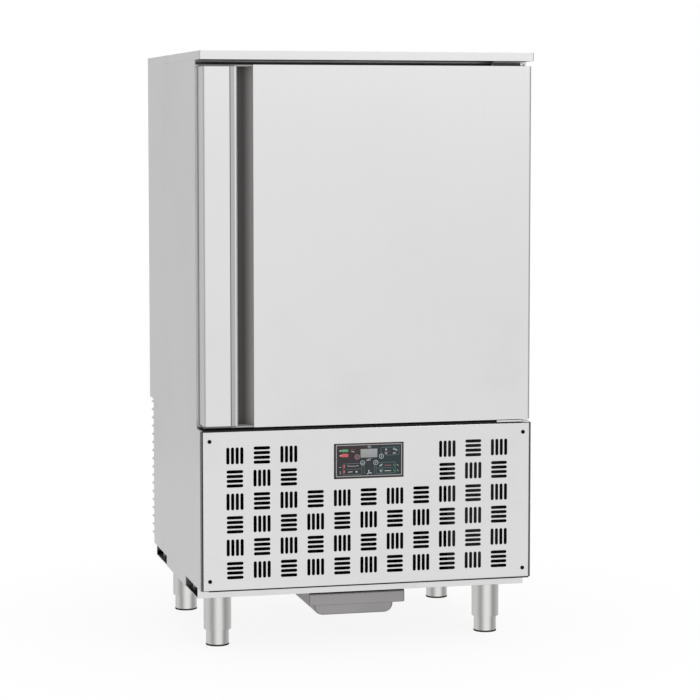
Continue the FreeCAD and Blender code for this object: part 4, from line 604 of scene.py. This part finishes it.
# ---- The object's finishes ----
KIT = {
    "outer": brushed_steel("steel_vertical_grain", STEEL, VERTICAL),
    "side": brushed_steel("steel_side", STEEL, VERTICAL, painted_shade=True),
    "level": brushed_steel("steel_level_grain", STEEL, LEVEL, painted_shade=True),
    "inner": brushed_steel("steel_inner", INNER_STEEL, VERTICAL, 0.28),
    "turned": brushed_steel("steel_turned", LEG_STEEL, TURNED, 0.17, 0.06, 0.2),
    # Pan steel darkened as painted shade.
    "pan": brushed_steel("steel_drawn_painted_shade", PAN_STEEL_SHADED, LENGTHWISE, 0.36, 0.12),
    "bolt": brushed_steel("steel_bolts", BOLT_STEEL, TURNED, 0.3, 0.1),
    # Lintel and hinge-cover trims: steel darkened as painted shade for the gap over the door; the hinge cover's copy
    # is darker still, as it stands further forward in more light.
    "trim_wide": brushed_steel("steel_lintel_painted_shade", (0.38, 0.375, 0.375), LEVEL, 0.4),
    "trim_hinge": brushed_steel("steel_hinge_cover_painted_shade", (0.16, 0.157, 0.157), LEVEL, 0.4),
    "grip": grip_metal(),
    "zinc": zinc_plate(),
    "copper": copper(),
    "foam": foam(),
    # Condenser fins are black, as coils are often painted, and dark enough to stand in for the shade seen through the
    # slots.
    "condenser_fins": fins("condenser_fins", BLACK, 2.4),
    "evaporator_fins": fins("evaporator_fins", (0.62, 0.63, 0.65), 4),
    "black_enamel": enamel("black_enamel", BLACK),
    # Electrical box near black as painted shade behind the front panel's slots.
    "box_enamel": enamel("box_enamel", (0.014, 0.014, 0.015), 0.5),
    "guard": enamel("guard_enamel", (0.02, 0.02, 0.021), 0.3),
    "screw_black": screw_black(),
    "black_plastic": moulded_plastic("black_plastic", BLACK, 0.45),
    "grey_plastic": moulded_plastic("grey_plastic", (0.16, 0.16, 0.165)),
    # Grip end plates: grey plastic lightened as painted light, where they sit in shade at the grip's ends.
    "end_plastic": moulded_plastic("grip_end_plastic_painted_light", (0.33, 0.325, 0.325)),
    "trim": moulded_plastic("pale_trim", (0.42, 0.41, 0.41), 0.4),
    "rubber": rubber("seal_rubber", BLACK),
    # Grey rubber of the strips beside the panel: painted shade in those gaps.
    "edge_shade_rubber": rubber("edge_shade_rubber", (0.17, 0.167, 0.167)),
    # Lintel rubber lightened as painted light in the gap's shade; the hinge cover's copy is darker, as painted shade.
    "seal_wide": rubber("lintel_rubber_painted_light", (0.12, 0.117, 0.117)),
    "seal_hinge": rubber("hinge_cover_rubber_painted_shade", (0.035, 0.034, 0.034)),
    "pad_rubber": rubber("pad_rubber", (0.015, 0.015, 0.016)),
    "film": overlay_film(),
    "display": display_film(),
}
for name, colour in INKS.items():
    KIT[name] = print_ink(name, colour)


# ---- Mesh helpers, in mm ----
def mesh_of(name, points, faces, sharp):
    mesh = bpy.data.meshes.new(name)
    mesh.from_pydata([Vector(p) * MM for p in points], [], faces)
    mesh.validate()
    tidy = bmesh.new()
    tidy.from_mesh(mesh)
    bmesh.ops.remove_doubles(tidy, verts=tidy.verts, dist=1e-7)
    bmesh.ops.recalc_face_normals(tidy, faces=tidy.faces)
    tidy.to_mesh(mesh)
    tidy.free()
    mesh.shade_smooth()
    mesh.set_sharp_from_angle(angle=math.radians(sharp))
    return mesh


def added(name, data):
    """New object of the scene that holds a mesh, a lamp or a camera."""
    made = bpy.data.objects.new(name, data)
    bpy.context.scene.collection.objects.link(made)
    return made


def put(name, mesh, body, finish):
    """Place a mesh as a piece of the object that moves with a body."""
    mesh.materials.append(KIT[finish])
    piece = added(name, mesh)
    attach(piece, body)
    return piece


class Form:
    """Points and faces gathered from several closed solids."""

    def __init__(self, points=(), faces=()):
        self.points = list(points)
        self.faces = list(faces)

    def add(self, points, faces, place=(0, 0, 0), turn=None):
        start = len(self.points)
        for point in points:
            moved = Vector(point) if turn is None else turn @ Vector(point)
            self.points.append(tuple(moved + Vector(place)))
        self.faces.extend([tuple(start + index for index in face) for face in faces])

    def put(self, name, body, finish, slot, sharp=35.0):
        return put(name, mesh_of(name, self.points, self.faces, sharp), body, finish)


def bands(rows, count, closed=False):
    """Faces between rows of points, each row a loop of count points; closed joins the last row to the first."""
    faces = []
    for row in range(rows if closed else rows - 1):
        here, after = row * count, (row + 1) % rows * count
        for index in range(count):
            onward = (index + 1) % count
            faces.append((here + index, here + onward, after + onward, after + index))
    return faces


def arc(centre, radius, start, end, steps):
    """Points of an arc, angles in degrees."""
    angles = [math.radians(start + (end - start) * index / steps) for index in range(steps + 1)]
    return [(centre[0] + radius * math.cos(angle), centre[1] + radius * math.sin(angle)) for angle in angles]


def circle(centre, radius, count):
    return arc(centre, radius, 0, 360 * (count - 1) / count, count - 1)


def rounded(low, high, radius, steps=4):
    """Closed outline of a rectangle with round corners."""
    (x0, y0), (x1, y1) = low, high
    made = []
    for centre, start in (((x1 - radius, y1 - radius), 0), ((x0 + radius, y1 - radius), 90),
                          ((x0 + radius, y0 + radius), 180), ((x1 - radius, y0 + radius), 270)):
        made.extend(arc(centre, radius, start, start + 90, steps))
    return made


def lathe(profile, segments=48):
    """Solid turned about Z from (radius, height) pairs that start and end on the axis or close on themselves."""
    points = []
    for radius, height in profile:
        points.extend((x, y, height) for x, y in circle((0, 0), radius, segments))
    return points, bands(len(profile), segments, profile[0][0] > 0)


def prism(section, low, high, axis):
    """Closed section drawn in the two other axes, in order, and run from low to high along axis."""
    points = []
    for level in (low, high):
        for first, second in section:
            point = [first, second]
            point.insert("XYZ".index(axis), level)
            points.append(tuple(point))
    count = len(section)
    return points, [tuple(range(count)), tuple(range(2 * count - 1, count - 1, -1))] + bands(2, count)


def ring_run(section, low, high):
    """Closed section of (inset, y) pairs swept round the rectangle low to high in X and Z, with mitred corners."""
    points = []
    for side_x, side_z in ((-1, -1), (1, -1), (1, 1), (-1, 1)):
        for inset, y in section:
            x = low[0] + inset if side_x < 0 else high[0] - inset
            z = low[1] + inset if side_z < 0 else high[1] - inset
            points.append((x, y, z))
    return points, bands(4, len(section), True)


def button_head(radius, height, recess, sides, segments=48, rows=10):
    """Domed screw head about Z with a driving recess of the given radius: a six-sided socket, or a cross."""
    points = []
    for row in range(rows + 1):
        share = row / rows
        reach = radius * share
        top = height * math.sqrt(max(0.0, 1 - 0.86 * share ** 2.6))
        for index, (x, y) in enumerate(circle((0, 0), reach, segments)):
            if sides == 6:
                angle = 2 * math.pi * index / segments
                inside = reach < recess / max(math.cos((angle % (math.pi / 3)) - math.pi / 6), 0.5) * 0.9
            else:
                inside = min(abs(x), abs(y)) < recess * 0.22 and max(abs(x), abs(y)) < recess
            points.append((x, y, top - (height * 0.6 if inside else 0)))
    points.extend((x, y, 0) for x, y in circle((0, 0), radius, segments))
    last = (rows + 1) * segments
    return points, bands(rows + 2, segments) + [tuple(range(last + segments - 1, last - 1, -1))]


def hexagon(across_flats, low, high):
    """Hexagon head between two levels, with corners chamfered towards the high one."""
    points = []
    for level, share in ((0.0, 1.0), (0.8, 1.0), (1.0, 0.88)):
        z = low + (high - low) * level
        points.extend((x * share, y * share, z) for x, y in circle((0, 0), across_flats / math.sqrt(3), 6))
    return points, [tuple(range(6)), tuple(range(17, 11, -1))] + bands(3, 6)


TO_FRONT = Matrix.Rotation(math.radians(90), 3, "X")
TO_BACK = Matrix.Rotation(math.radians(-90), 3, "X")


# ---- CAD nodes: finish and softened edges ----
def paint():
    for finish, edge, names in FINISHES:
        for name in names.split():
            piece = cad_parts[name]
            piece.data.materials.clear()
            piece.data.materials.append(KIT[finish])
            piece.data.shade_smooth()
            if edge:
                soften(piece, edge)


def soften(piece, width):
    """Round a CAD node's folds to a width in mm, with even shading on its flats."""
    weld = piece.modifiers.new("weld", "WELD")
    weld.merge_threshold = 0.000005
    merge = piece.modifiers.new("merge", "DECIMATE")
    merge.decimate_type = "DISSOLVE"
    merge.angle_limit = math.radians(0.4)
    bevel = piece.modifiers.new("edge", "BEVEL")
    bevel.width = width * MM
    bevel.segments = 2
    bevel.limit_method = "ANGLE"
    bevel.angle_limit = math.radians(38)
    even = piece.modifiers.new("even", "WEIGHTED_NORMAL")
    even.keep_sharp = True
    even.weight = 80


# ---- Pieces ----
def build_grip():
    """Extruded grip with its rolled lip, finger undercut and scoop, between two end plates."""
    roll_y, back = DOOR_FRONT + ROLL_RADIUS, DOOR_FRONT + GRIP_DEPTH
    section = [(LIP_START, DOOR_FRONT + 0.6), (LIP_START + 0.6, DOOR_FRONT)]
    section += arc((ROLL_X, roll_y), ROLL_RADIUS, -90, 90, 20)
    section += arc((LIP_START, roll_y + ROLL_RADIUS + UNDERCUT_RADIUS), UNDERCUT_RADIUS, -90, -270, 20)
    section += arc((GRIP_RIGHT - SCOOP_RADIUS, DOOR_FRONT + SCOOP_DEPTH - SCOOP_RADIUS), SCOOP_RADIUS, 90, 0, 22)
    section += [(GRIP_RIGHT, back), (GRIP_LEFT, back), (GRIP_LEFT, DOOR_FRONT + 1), (LIP_START, DOOR_FRONT + 1)]
    form = Form(*prism(section, DOOR_BOTTOM + 4, DOOR_TOP - 4, "Z"))
    piece = form.put("grip_extrusion", "door", "grip", "grip_aluminium", 30)
    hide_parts("door_handle")
    ends = Form()
    plate = rounded((LIP_START + 1, DOOR_FRONT + 0.8), (GRIP_RIGHT - 0.2, back - 2), 2.5)
    for low, high in ((DOOR_BOTTOM + 0.3, DOOR_BOTTOM + 3.7), (DOOR_TOP - 3.7, DOOR_TOP - 0.3)):
        ends.add(*prism(plate, low, high, "Z"))
    # End plates in grey plastic lightened as painted light.
    ends.put("grip_end_plates", "door", "end_plastic", "grey_plastic")


def build_seals():
    """Ribbed rubber strips on the sill, over the door and under the front panel, and the door's magnetic seal. The
    black strips on the sill, on the panel's top edge and under the panel are painted shade in those gaps, as are the
    grey strips beside the panel.
    """
    far, near = CABINET_FACE - SILL_DEPTH, CABINET_FACE - 1
    low, high = CABINET_BOTTOM + SILL_LOW, CABINET_BOTTOM + SILL_HIGH
    sill = [(far, low), (near, low), (near, high)]
    for index in range(SILL_RIBS):
        y = CABINET_FACE - 4 - index * SILL_PITCH
        sill += [(y, high), (y - SILL_GROOVE, high - SILL_GROOVE), (y - 2 * SILL_GROOVE, high)]
    sill += [(far, high)]
    # Black strips in the gaps on the sill, on the panel's top and under the panel: painted shade.
    nose_back = SIDE_FRONT + 0.8
    nose = [(PANEL_FRONT + 2, PANEL_TOP + 0.1), (PANEL_FRONT + 2, PANEL_TOP + 1.2), (PANEL_FRONT + 3, PANEL_TOP + 2.6),
            (nose_back, PANEL_TOP + 3.6), (nose_back, PANEL_TOP + 0.1)]
    form = Form()
    form.add(*prism(sill, -372.5, OPENING_RIGHT, "X"))
    form.add(*prism(nose, -370.5, 352, "X"))
    form.add(*prism(rounded((PANEL_FRONT + 0.5, 146.9), (SIDE_FRONT - 0.4, FLOOR_TOP), 0.5), -358, 371, "X"))
    form.put("shade_strips", "cabinet", "rubber", "gasket_rubber")
    # Grey strips in the gaps beside the panel's folds: painted shade.
    edges = Form()
    for x in (-PANEL_HALF - 1.5, PANEL_HALF + 1.5):
        strip = rounded((x - 1.2, PANEL_FRONT + 1.5), (x + 1.2, SIDE_FRONT - 0.2), 0.8)
        edges.add(*prism(strip, FLOOR_TOP + 1, PANEL_TOP - 1, "Z"))
    edges.put("panel_edge_shade_strips", "cabinet", "edge_shade_rubber", "gasket_rubber")
    # These strips over the door carry the painted shade and painted light of their finishes in the kit.
    for face, start, end, suffix in ((CABINET_FACE, -373.4, OPENING_RIGHT, "wide"), (HINGE_COVER, 284, 345, "hinge")):
        for part, profile, slot in (("seal", LINTEL_SEAL, "gasket_rubber"), ("trim", LINTEL_TRIM, "outer_steel")):
            strip = Form(*prism([(face - depth, z) for depth, z in profile], start, end, "X"))
            strip.put("lintel_%s_%s" % (part, suffix), "cabinet", "%s_%s" % (part, suffix), slot)
    seal = Form(*ring_run([(inset, DOOR_BACK + depth) for inset, depth in DOOR_SEAL], (-350, 526), (350, 1271)))
    piece = seal.put("door_seal", "door", "rubber", "gasket_rubber", 50)
    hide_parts("door_gasket")


def build_legs():
    """Turned sleeves under bolted plates, and feet that slide in them."""
    bolts = Form()
    plate = rounded((-PLATE_HALF, -PLATE_HALF), (PLATE_HALF, PLATE_HALF), 4)
    head = CHANNEL_BOTTOM + 2
    shank = [(0, 115), (BOLT_RADIUS - 0.6, 115), (BOLT_RADIUS, 115.8), (BOLT_RADIUS, head), (0, head)]
    washer = [(BOLT_RADIUS, NUT_TOP), (8.6, NUT_TOP), (8.8, 120), (8.8, 120.9), (BOLT_RADIUS, 120.9)]
    for leg, (x, y) in LEG_PLACES:
        form = Form()
        form.add(*lathe(SLEEVE, 72), place=(x, y, 0))
        form.add(*prism(plate, PLATE_BOTTOM, CHANNEL_BOTTOM, "Z"), place=(x, y, 0))
        piece = form.put("leg_sleeve_" + leg, "cabinet", "turned", "leg_steel")
        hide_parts("leg_sleeves")
        for dx in (-BOLT_SPREAD, BOLT_SPREAD):
            for dy in (-BOLT_SPREAD, BOLT_SPREAD):
                place = (x + dx, y + dy, 0)
                bolts.add(*hexagon(BOLT_FLATS, CHANNEL_BOTTOM + 1.5, CHANNEL_BOTTOM + 7), place=place)
                bolts.add(*lathe(shank, 24), place=place)
                bolts.add(*lathe(washer, 24), place=place)
                bolts.add(*hexagon(BOLT_FLATS, NUT_TOP, NUT_TOP - 3.4), place=place)
    bolts.put("leg_bolts", "cabinet", "bolt", "zinc_steel", 25)
    barrel = [(0, 9), (20.6, 9), (20.6, 3.2), (24.6, 3.2), (25.4, 3.8), (BARREL_RADIUS, 4.6)]
    for index in range(5):
        z = 8 + index * 2.6
        barrel += [(BARREL_RADIUS, z), (BARREL_RADIUS - 0.08, z + 0.5), (BARREL_RADIUS, z + 1)]
    barrel += [(BARREL_RADIUS, 71.4), (25.1, 72), (ROD_RADIUS, 72)]
    for index in range(20):
        z = 73 + index * THREAD_PITCH
        barrel += [(ROD_RADIUS, z), (ROD_RADIUS - 0.8, z + THREAD_PITCH / 2)]
    barrel += [(7.6, 123.2), (6.8, 124), (0, 124)]
    for leg, (x, y) in LEG_PLACES:
        form = Form()
        form.add(*lathe(barrel, 72), place=(x, y, 0))
        piece = form.put("foot_turned_" + leg, "foot_" + leg, "turned", "leg_steel", 25)
        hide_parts("foot_" + leg)


def build_screws():
    """Screws of the front panel, and those at the back and on the hinges."""
    form = Form()
    shank = [(0, 0), (2.5, 0), (2.5, -11.4), (1.9, -12), (0, -12)]
    for x in (-SCREW_X, SCREW_X):
        for z in SCREW_Z:
            form.add(*button_head(4.4, 2.2, 2.5, 6), place=(x, PANEL_FRONT, z), turn=TO_FRONT)
            form.add(*lathe(shank, 24), place=(x, PANEL_FRONT, z), turn=TO_FRONT)
    piece = form.put("panel_button_screws", "cabinet", "screw_black", "black_enamel")
    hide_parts("panel_screws")
    rear = Form()
    louvre_face, casing_face = COMPARTMENT_REAR + 1, REAR - 1.2
    places = [(x, louvre_face, 156.5) for x in (-350, -120, 120, 290, 366)]
    places += [(366, louvre_face, z) for z in (270, 385, 490)]
    places += [(x, casing_face, 1311) for x in (-340, -115, 115, 340)]
    places += [(x, casing_face, z) for x in (-367, 367) for z in (520, 905, 1285)]
    for place in places:
        height = 1.2 if place[1] == casing_face else 2.0
        rear.add(*button_head(3.8, height, 2.4, 4), place=place, turn=TO_BACK)
    for z in HINGE_SCREW_Z:
        for x in HINGE_SCREW_X:
            rear.add(*button_head(5.0, 2.8, 2.6, 6), place=(x, CABINET_FACE - 3, z), turn=TO_FRONT)
    rear.put("fixing_screws", "cabinet", "bolt", "zinc_steel")


def build_gland():
    """Cable gland: hexagon body and a domed nut with grip ribs."""
    form = Form()
    start = COMPARTMENT_REAR + 1
    nut_place = (GLAND_X, start + GLAND_BODY, GLAND_Z)
    form.add(*hexagon(19.6, 0, GLAND_BODY), place=(GLAND_X, start, GLAND_Z), turn=TO_BACK)
    form.add(*lathe(GLAND_NUT), place=nut_place, turn=TO_BACK)
    rib = prism(rounded((10.2, -0.7), (11.0, 0.7), 0.3, 2), 0.8, 6.2, "Z")
    for index in range(GLAND_RIBS):
        turn = Matrix.Rotation(math.radians(360 / GLAND_RIBS * index), 3, "Y") @ TO_BACK
        form.add(*rib, place=nut_place, turn=turn)
    piece = form.put("gland_body", "cabinet", "black_plastic", "black_plastic")
    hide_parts("cable_gland")


def build_guards():
    """Round-wire guards over the chamber fans."""
    spoke = prism(circle((2.4, 0), 1.6, 8), 30, GUARD_RADIUS + 1, "X")
    leg = prism(circle((GUARD_RADIUS, 0), 1.9, 8), -0.4, 6, "Y")
    foot = prism(rounded((GUARD_RADIUS - 7, -6), (GUARD_RADIUS + 5, 6), 3), 5, 6, "Y")
    for label, z in FANS:
        form = Form()
        place = (0, BAFFLE_FRONT - 6, z)
        for ring in range(GUARD_RINGS):
            section = circle((GUARD_RADIUS - ring * GUARD_PITCH, 0), 2.0 if ring == 0 else 1.2, 8)
            form.add(*lathe(section, 64), place=place, turn=TO_FRONT)
        for index in range(4):
            turn = Matrix.Rotation(math.radians(45 + 90 * index), 3, "Y")
            for part in (spoke, leg, foot):
                form.add(*part, place=place, turn=turn)
        piece = form.put("fan_guard_" + label, "cabinet", "guard", "guard_enamel")
        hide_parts("fan_guards")


def build_drain():
    """Strainer in the chamber floor over the drain."""
    form = Form()
    z = DRAIN_Z
    rim = [(DRAIN_RADIUS, z), (19.6, z), (19.2, z + 0.8), (17.2, z + 1.4), (DRAIN_RADIUS, z + 1.2)]
    form.add(*lathe(rim), place=(0, DRAIN_Y, 0))
    for index in range(-3, 4):
        x = index * STRAINER_PITCH
        half = math.sqrt((DRAIN_RADIUS + 0.4) ** 2 - x ** 2)
        form.add(*prism(rounded((x - 0.8, -half), (x + 0.8, half), 0.7, 3), z + 0.2, z + 1.0, "Z"),
                 place=(0, DRAIN_Y, 0))
    form.put("drain_strainer", "cabinet", "inner", "inner_steel")


# ---- Control panel print ----
class Print:
    """Thin printed shapes on a face that looks to the front, drawn in X and Z, in mm."""

    THICKNESS = 0.07
    SUNK = 0.02

    def __init__(self, front):
        self.form = Form()
        self.front = front

    def shape(self, outline):
        self.form.add(*prism(outline, self.front - self.THICKNESS, self.front + self.SUNK, "Y"))

    def line(self, start, end, width):
        along = (Vector(end) - Vector(start)).normalized()
        side = Vector((-along.y, along.x)) * width / 2
        reach = along * width / 2
        a, b = Vector(start) - reach, Vector(end) + reach
        self.shape([tuple(a - side), tuple(b - side), tuple(b + side), tuple(a + side)])

    def path(self, width, *places):
        for start, end in zip(places, places[1:]):
            self.line(start, end, width)

    def ring(self, centre, outer, inner):
        section = [(outer, self.THICKNESS), (inner, self.THICKNESS), (inner, -self.SUNK), (outer, -self.SUNK)]
        self.form.add(*lathe(section, 36), place=(centre[0], self.front, centre[1]), turn=TO_FRONT)

    def fan(self, centre, size):
        for turn in (90, 210, 330):
            c, s = size * math.cos(math.radians(turn)), size * math.sin(math.radians(turn))
            self.shape([(centre[0] + reach * c - side * s, centre[1] + reach * s + side * c)
                        for reach, side in FAN_BLADE])

    def snowflake(self, centre, size, width):
        for turn in (0, 60, 120):
            x, z = size * math.cos(math.radians(turn)), size * math.sin(math.radians(turn))
            self.line((centre[0] - x, centre[1] - z), (centre[0] + x, centre[1] + z), width)


def build_print():
    """Generic pictograms, rings and guide lines on the control panel, with no lettering."""
    for name, colour, strokes, blocks in PRINTS:
        ink = Print(OVERLAY_FRONT)
        if name == "print_pictograms":
            ink.fan(FAN_CENTRE, FAN_REACH)
            for centre, radius in DISCS:
                ink.shape(circle(centre, radius, 20))
            for flake in SNOWFLAKES:
                ink.snowflake(*flake)
        for block in blocks:
            ink.shape(rounded(*block))
        for stroke in strokes:
            ink.path(*stroke)
        ink.form.put(name, "cabinet", colour, "overlay_film")
    for index, ((x, z), (width, *places)) in enumerate(zip(KEYS, KEY_GLYPHS)):
        ink = Print(OVERLAY_FRONT - KEY_PROUD)
        ink.ring((x, z), *KEY_RING)
        ink.path(width, *((x + across, z + up) for across, up in places))
        colour, slot = ("ink_rose_key", "key_red") if index == 0 else ("ink_pale", "key_pale")
        ink.form.put("key_ring_%d" % (index + 1), "key_%d" % (index + 1), colour, slot)


# ---- Front panel ----
def slot_outline(x, z, upright, steps=6):
    """Round-ended slot about x and z."""
    radius = SLOT_WIDTH / 2
    straight = SLOT_LENGTH / 2 - radius
    along = arc((straight, 0), radius, -90, 90, steps) + arc((-straight, 0), radius, 90, 270, steps)
    return [(x - b, z + a) if upright else (x + a, z + b) for a, b in along]


def panel_outlines():
    """Openings of the front panel: the basket weave of slots, the place of the controls and the screw holes."""
    half_x, half_z = CONTROLS_OPENING
    outlines = [rounded((-half_x, BEZEL_Z - half_z), (half_x, BEZEL_Z + half_z), 3)]
    outlines += [circle((x, z), 2.8, 24) for x in (-SCREW_X, SCREW_X) for z in SCREW_Z]
    for row in range(GRILLE_ROWS):
        for column in range(GRILLE_COLUMNS):
            x = (column - (GRILLE_COLUMNS - 1) / 2) * CELL_PITCH_X
            z = GRILLE_TOP - row * CELL_PITCH_Z
            if abs(x) < CONTROLS_CLEAR[0] and abs(z - BEZEL_Z) < CONTROLS_CLEAR[1]:
                continue
            upright = (row + column) % 2 == 0
            for index in range(SLOTS_PER_CELL):
                shift = (index - (SLOTS_PER_CELL - 1) / 2) * SLOT_STEP
                outlines.append(slot_outline(x + shift if upright else x, z if upright else z + shift, upright))
    return outlines


def pierced_sheet(name, outer, openings, front, thickness):
    """Flat sheet facing the front with openings right through it."""
    shape = bmesh.new()
    for outline in [outer] + openings:
        corners = [shape.verts.new((x * MM, front * MM, z * MM)) for x, z in outline]
        for index, corner in enumerate(corners):
            shape.edges.new((corner, corners[(index + 1) % len(corners)]))
    filled = bmesh.ops.triangle_fill(shape, use_beauty=True, edges=shape.edges[:], normal=(0, -1, 0))
    faces = [item for item in filled["geom"] if isinstance(item, bmesh.types.BMFace)]
    pushed = bmesh.ops.extrude_face_region(shape, geom=faces, use_keep_orig=True)
    verts = [item for item in pushed["geom"] if isinstance(item, bmesh.types.BMVert)]
    bmesh.ops.translate(shape, verts=verts, vec=(0, thickness * MM, 0))
    bmesh.ops.recalc_face_normals(shape, faces=shape.faces)
    mesh = bpy.data.meshes.new(name)
    shape.to_mesh(mesh)
    shape.free()
    mesh.shade_smooth()
    mesh.set_sharp_from_angle(angle=math.radians(35))
    return mesh


def build_panel():
    """Pressed front panel with its basket weave of slots and folds that turn back on all four sides."""
    fold = PANEL_FOLD
    right, low, high = PANEL_HALF - fold, FLOOR_TOP + fold, PANEL_TOP - fold
    outer = [(-right, low), (right, low), (right, high), (-right, high)]
    mesh = pierced_sheet("panel_sheet", outer, panel_outlines(), PANEL_FRONT, 1.0)
    piece = put("panel_sheet", mesh, "cabinet", "level")
    centre = PANEL_FRONT + fold
    section = [(fold - x, centre - y) for x, y in arc((0, 0), fold, 90, 0, 8)]
    section += [(0, SIDE_FRONT), (1, SIDE_FRONT)]
    section += [(fold - x, centre - y) for x, y in arc((0, 0), fold - 1, 0, 90, 8)]
    form = Form(*ring_run(section, (-PANEL_HALF, FLOOR_TOP), (PANEL_HALF, PANEL_TOP)))
    folds = form.put("panel_folds", "cabinet", "level", "outer_steel", 40)
    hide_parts("front_panel")
    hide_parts("front_panel")


def build_bezel_trim():
    """Pale line let into the rim of the control panel, and the gasket under the rim."""
    face, rim = PANEL_FRONT, PANEL_FRONT - 3
    gasket = [(0, face), (0, face - 0.5), (0.4, face - 0.9), (3, face - 0.9), (3, face)]
    form = Form(*ring_run(gasket, (-78.6, 385.6), (79.4, 463.6)))
    form.put("bezel_gasket", "cabinet", "rubber", "black_plastic")
    line = [(0, rim + 0.3), (0, rim - 0.02), (0.5, rim - 0.14), (1.3, rim - 0.14), (1.8, rim - 0.02), (1.8, rim + 0.3)]
    form = Form(*ring_run(line, (-74.9, 390.2), (75.0, 460.9)))
    form.put("bezel_line", "cabinet", "trim", "grey_plastic")


# ---- Condensate pan ----
def corner_setback(radius, rise):
    """How far a rounded lower edge stands back at a rise above the bottom."""
    return radius - math.sqrt(max(0.0, radius ** 2 - (radius - rise) ** 2)) if rise < radius else 0.0


def build_pan():
    """Drawn condensate pan: rounded body, a wider rim rolled over at its top, and hooks for the rails."""
    front, back, top = PAN_FRONT, PAN_FRONT + PAN_LENGTH, PAN_TOP
    half, roll = PAN_RIM_HALF, top - PAN_ROLL
    loops = []

    def loop(half_width, inset, corner, z):
        outline = rounded((-half_width, front + inset), (half_width, back - inset), corner, 6)
        return [(x, y, z) for x, y in outline]

    for wall, order in ((0.0, 1), (PAN_WALL, -1)):
        part = []
        step = top - PAN_RIM_HEIGHT + wall
        body, setback = PAN_BODY_HALF - wall, PAN_SETBACK + wall
        wide, tight = PAN_SIDE_RADIUS - wall, PAN_END_RADIUS - wall
        for index in range(9):
            rise = wide * (1 - math.cos(math.radians(90 * index / 8)))
            part.append(loop(body - corner_setback(wide, rise), setback + corner_setback(tight, rise), 5,
                             PAN_BOTTOM + wall + rise))
        part.append(loop(body, setback, 5, step))
        part.append(loop(half - 1.6 - wall, wall + 1.6, 3, step))
        part.append(loop(half - wall, wall, 3.5, step + 1.6))
        if wall:
            part.append(loop(half - wall, wall + 1.4, 3.5, top - 1))
        else:
            for angle in (0, 20, 40, 60, 90):
                inset = PAN_ROLL_INSET * (1 - math.cos(math.radians(angle)))
                part.append(loop(half - inset * 0.3, inset, 3.5, roll + PAN_ROLL * math.sin(math.radians(angle))))
        loops += part[::order]
    count = len(loops[0])
    last = (len(loops) - 1) * count
    faces = bands(len(loops), count) + [tuple(range(count - 1, -1, -1)), tuple(range(last, last + count))]
    form = Form([point for ring in loops for point in ring], faces)
    for side in (-1, 1):
        hook = [(half, top - 2), (half, 116.8), (102, 116.8), (102, 114.8), (half - 2, 114.8), (half - 2, top - 2)]
        form.add(*prism([(side * x, z) for x, z in hook], front + 4, back - 4, "Y"))
    piece = form.put("pan_drawn", "condensate_pan", "pan", "outer_steel", 40)
    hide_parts("condensate_pan")


# ---- Studio ----
def build_floor():
    mesh = bpy.data.meshes.new("studio_floor")
    shape = bmesh.new()
    bmesh.ops.create_circle(shape, cap_ends=True, radius=FLOOR_RADIUS, segments=96)
    shape.to_mesh(mesh)
    shape.free()
    mesh.materials.append(floor_paint())
    floor = added("studio_floor", mesh)


def build_world():
    """White to the camera; to the object a soft studio, bright in front and overhead and darker at the sides."""
    world = bpy.data.worlds.new("studio")
    bpy.context.scene.world = world
    world.use_nodes = True
    world.node_tree.nodes.clear()
    w = Nodes(world.node_tree, "Generated")
    compass = w.remap(w.math("ARCTAN2", w.axis("X"), w.axis("Y")), -math.pi, math.pi)
    rise = w.remap(w.axis("Z"), *STUDIO_RISE)
    lights = []
    for colour in (w.blend(rise, w.ramp(compass, STUDIO_RING, "EASE"), STUDIO_OVERHEAD), WHITE):
        light = w.add("ShaderNodeBackground")
        w.feed(light.inputs["Color"], colour)
        lights.append(light.outputs["Background"])
    path = w.add("ShaderNodeLightPath")
    mirrored = w.math("MULTIPLY", path.outputs["Is Glossy Ray"], w.ramp(compass, BACKDROP_RING))
    seen = w.math("MAXIMUM", path.outputs["Is Camera Ray"], path.outputs["Is Transmission Ray"])
    shown = w.mixed(w.math("MAXIMUM", seen, mirrored), *lights)
    w.feed(w.add("ShaderNodeOutputWorld").inputs["Surface"], shown)


def build_lamp():
    lamp = bpy.data.lights.new("key", "AREA")
    lamp.shape = "RECTANGLE"
    lamp.size = lamp.size_y = LAMP_SIZE
    lamp.energy = LAMP_WATTS
    holder = added("key", lamp)
    holder.location = LAMP_PLACE
    holder.rotation_euler = (Vector(LAMP_TARGET) - holder.location).to_track_quat("-Z", "Y").to_euler()


def build_camera():
    data = bpy.data.cameras.new("camera")
    data.sensor_width = SENSOR
    data.lens = FOCAL_PIXELS / IMAGE_SIZE * SENSOR
    data.shift_y = (AXIS_ROW - IMAGE_SIZE / 2) / IMAGE_SIZE
    camera = added("camera", data)
    camera.location = CAMERA_PLACE
    camera.rotation_euler = (math.radians(90 + CAMERA_PITCH), 0, math.radians(-CAMERA_YAW))
    bpy.context.scene.camera = camera


bpy.context.scene.view_settings.view_transform = "Standard"
paint()
for build in (build_grip, build_seals, build_legs, build_screws, build_gland, build_guards, build_drain, build_panel,
              build_pan, build_print, build_bezel_trim):
    build()
build_floor()
build_world()
build_lamp()
build_camera()
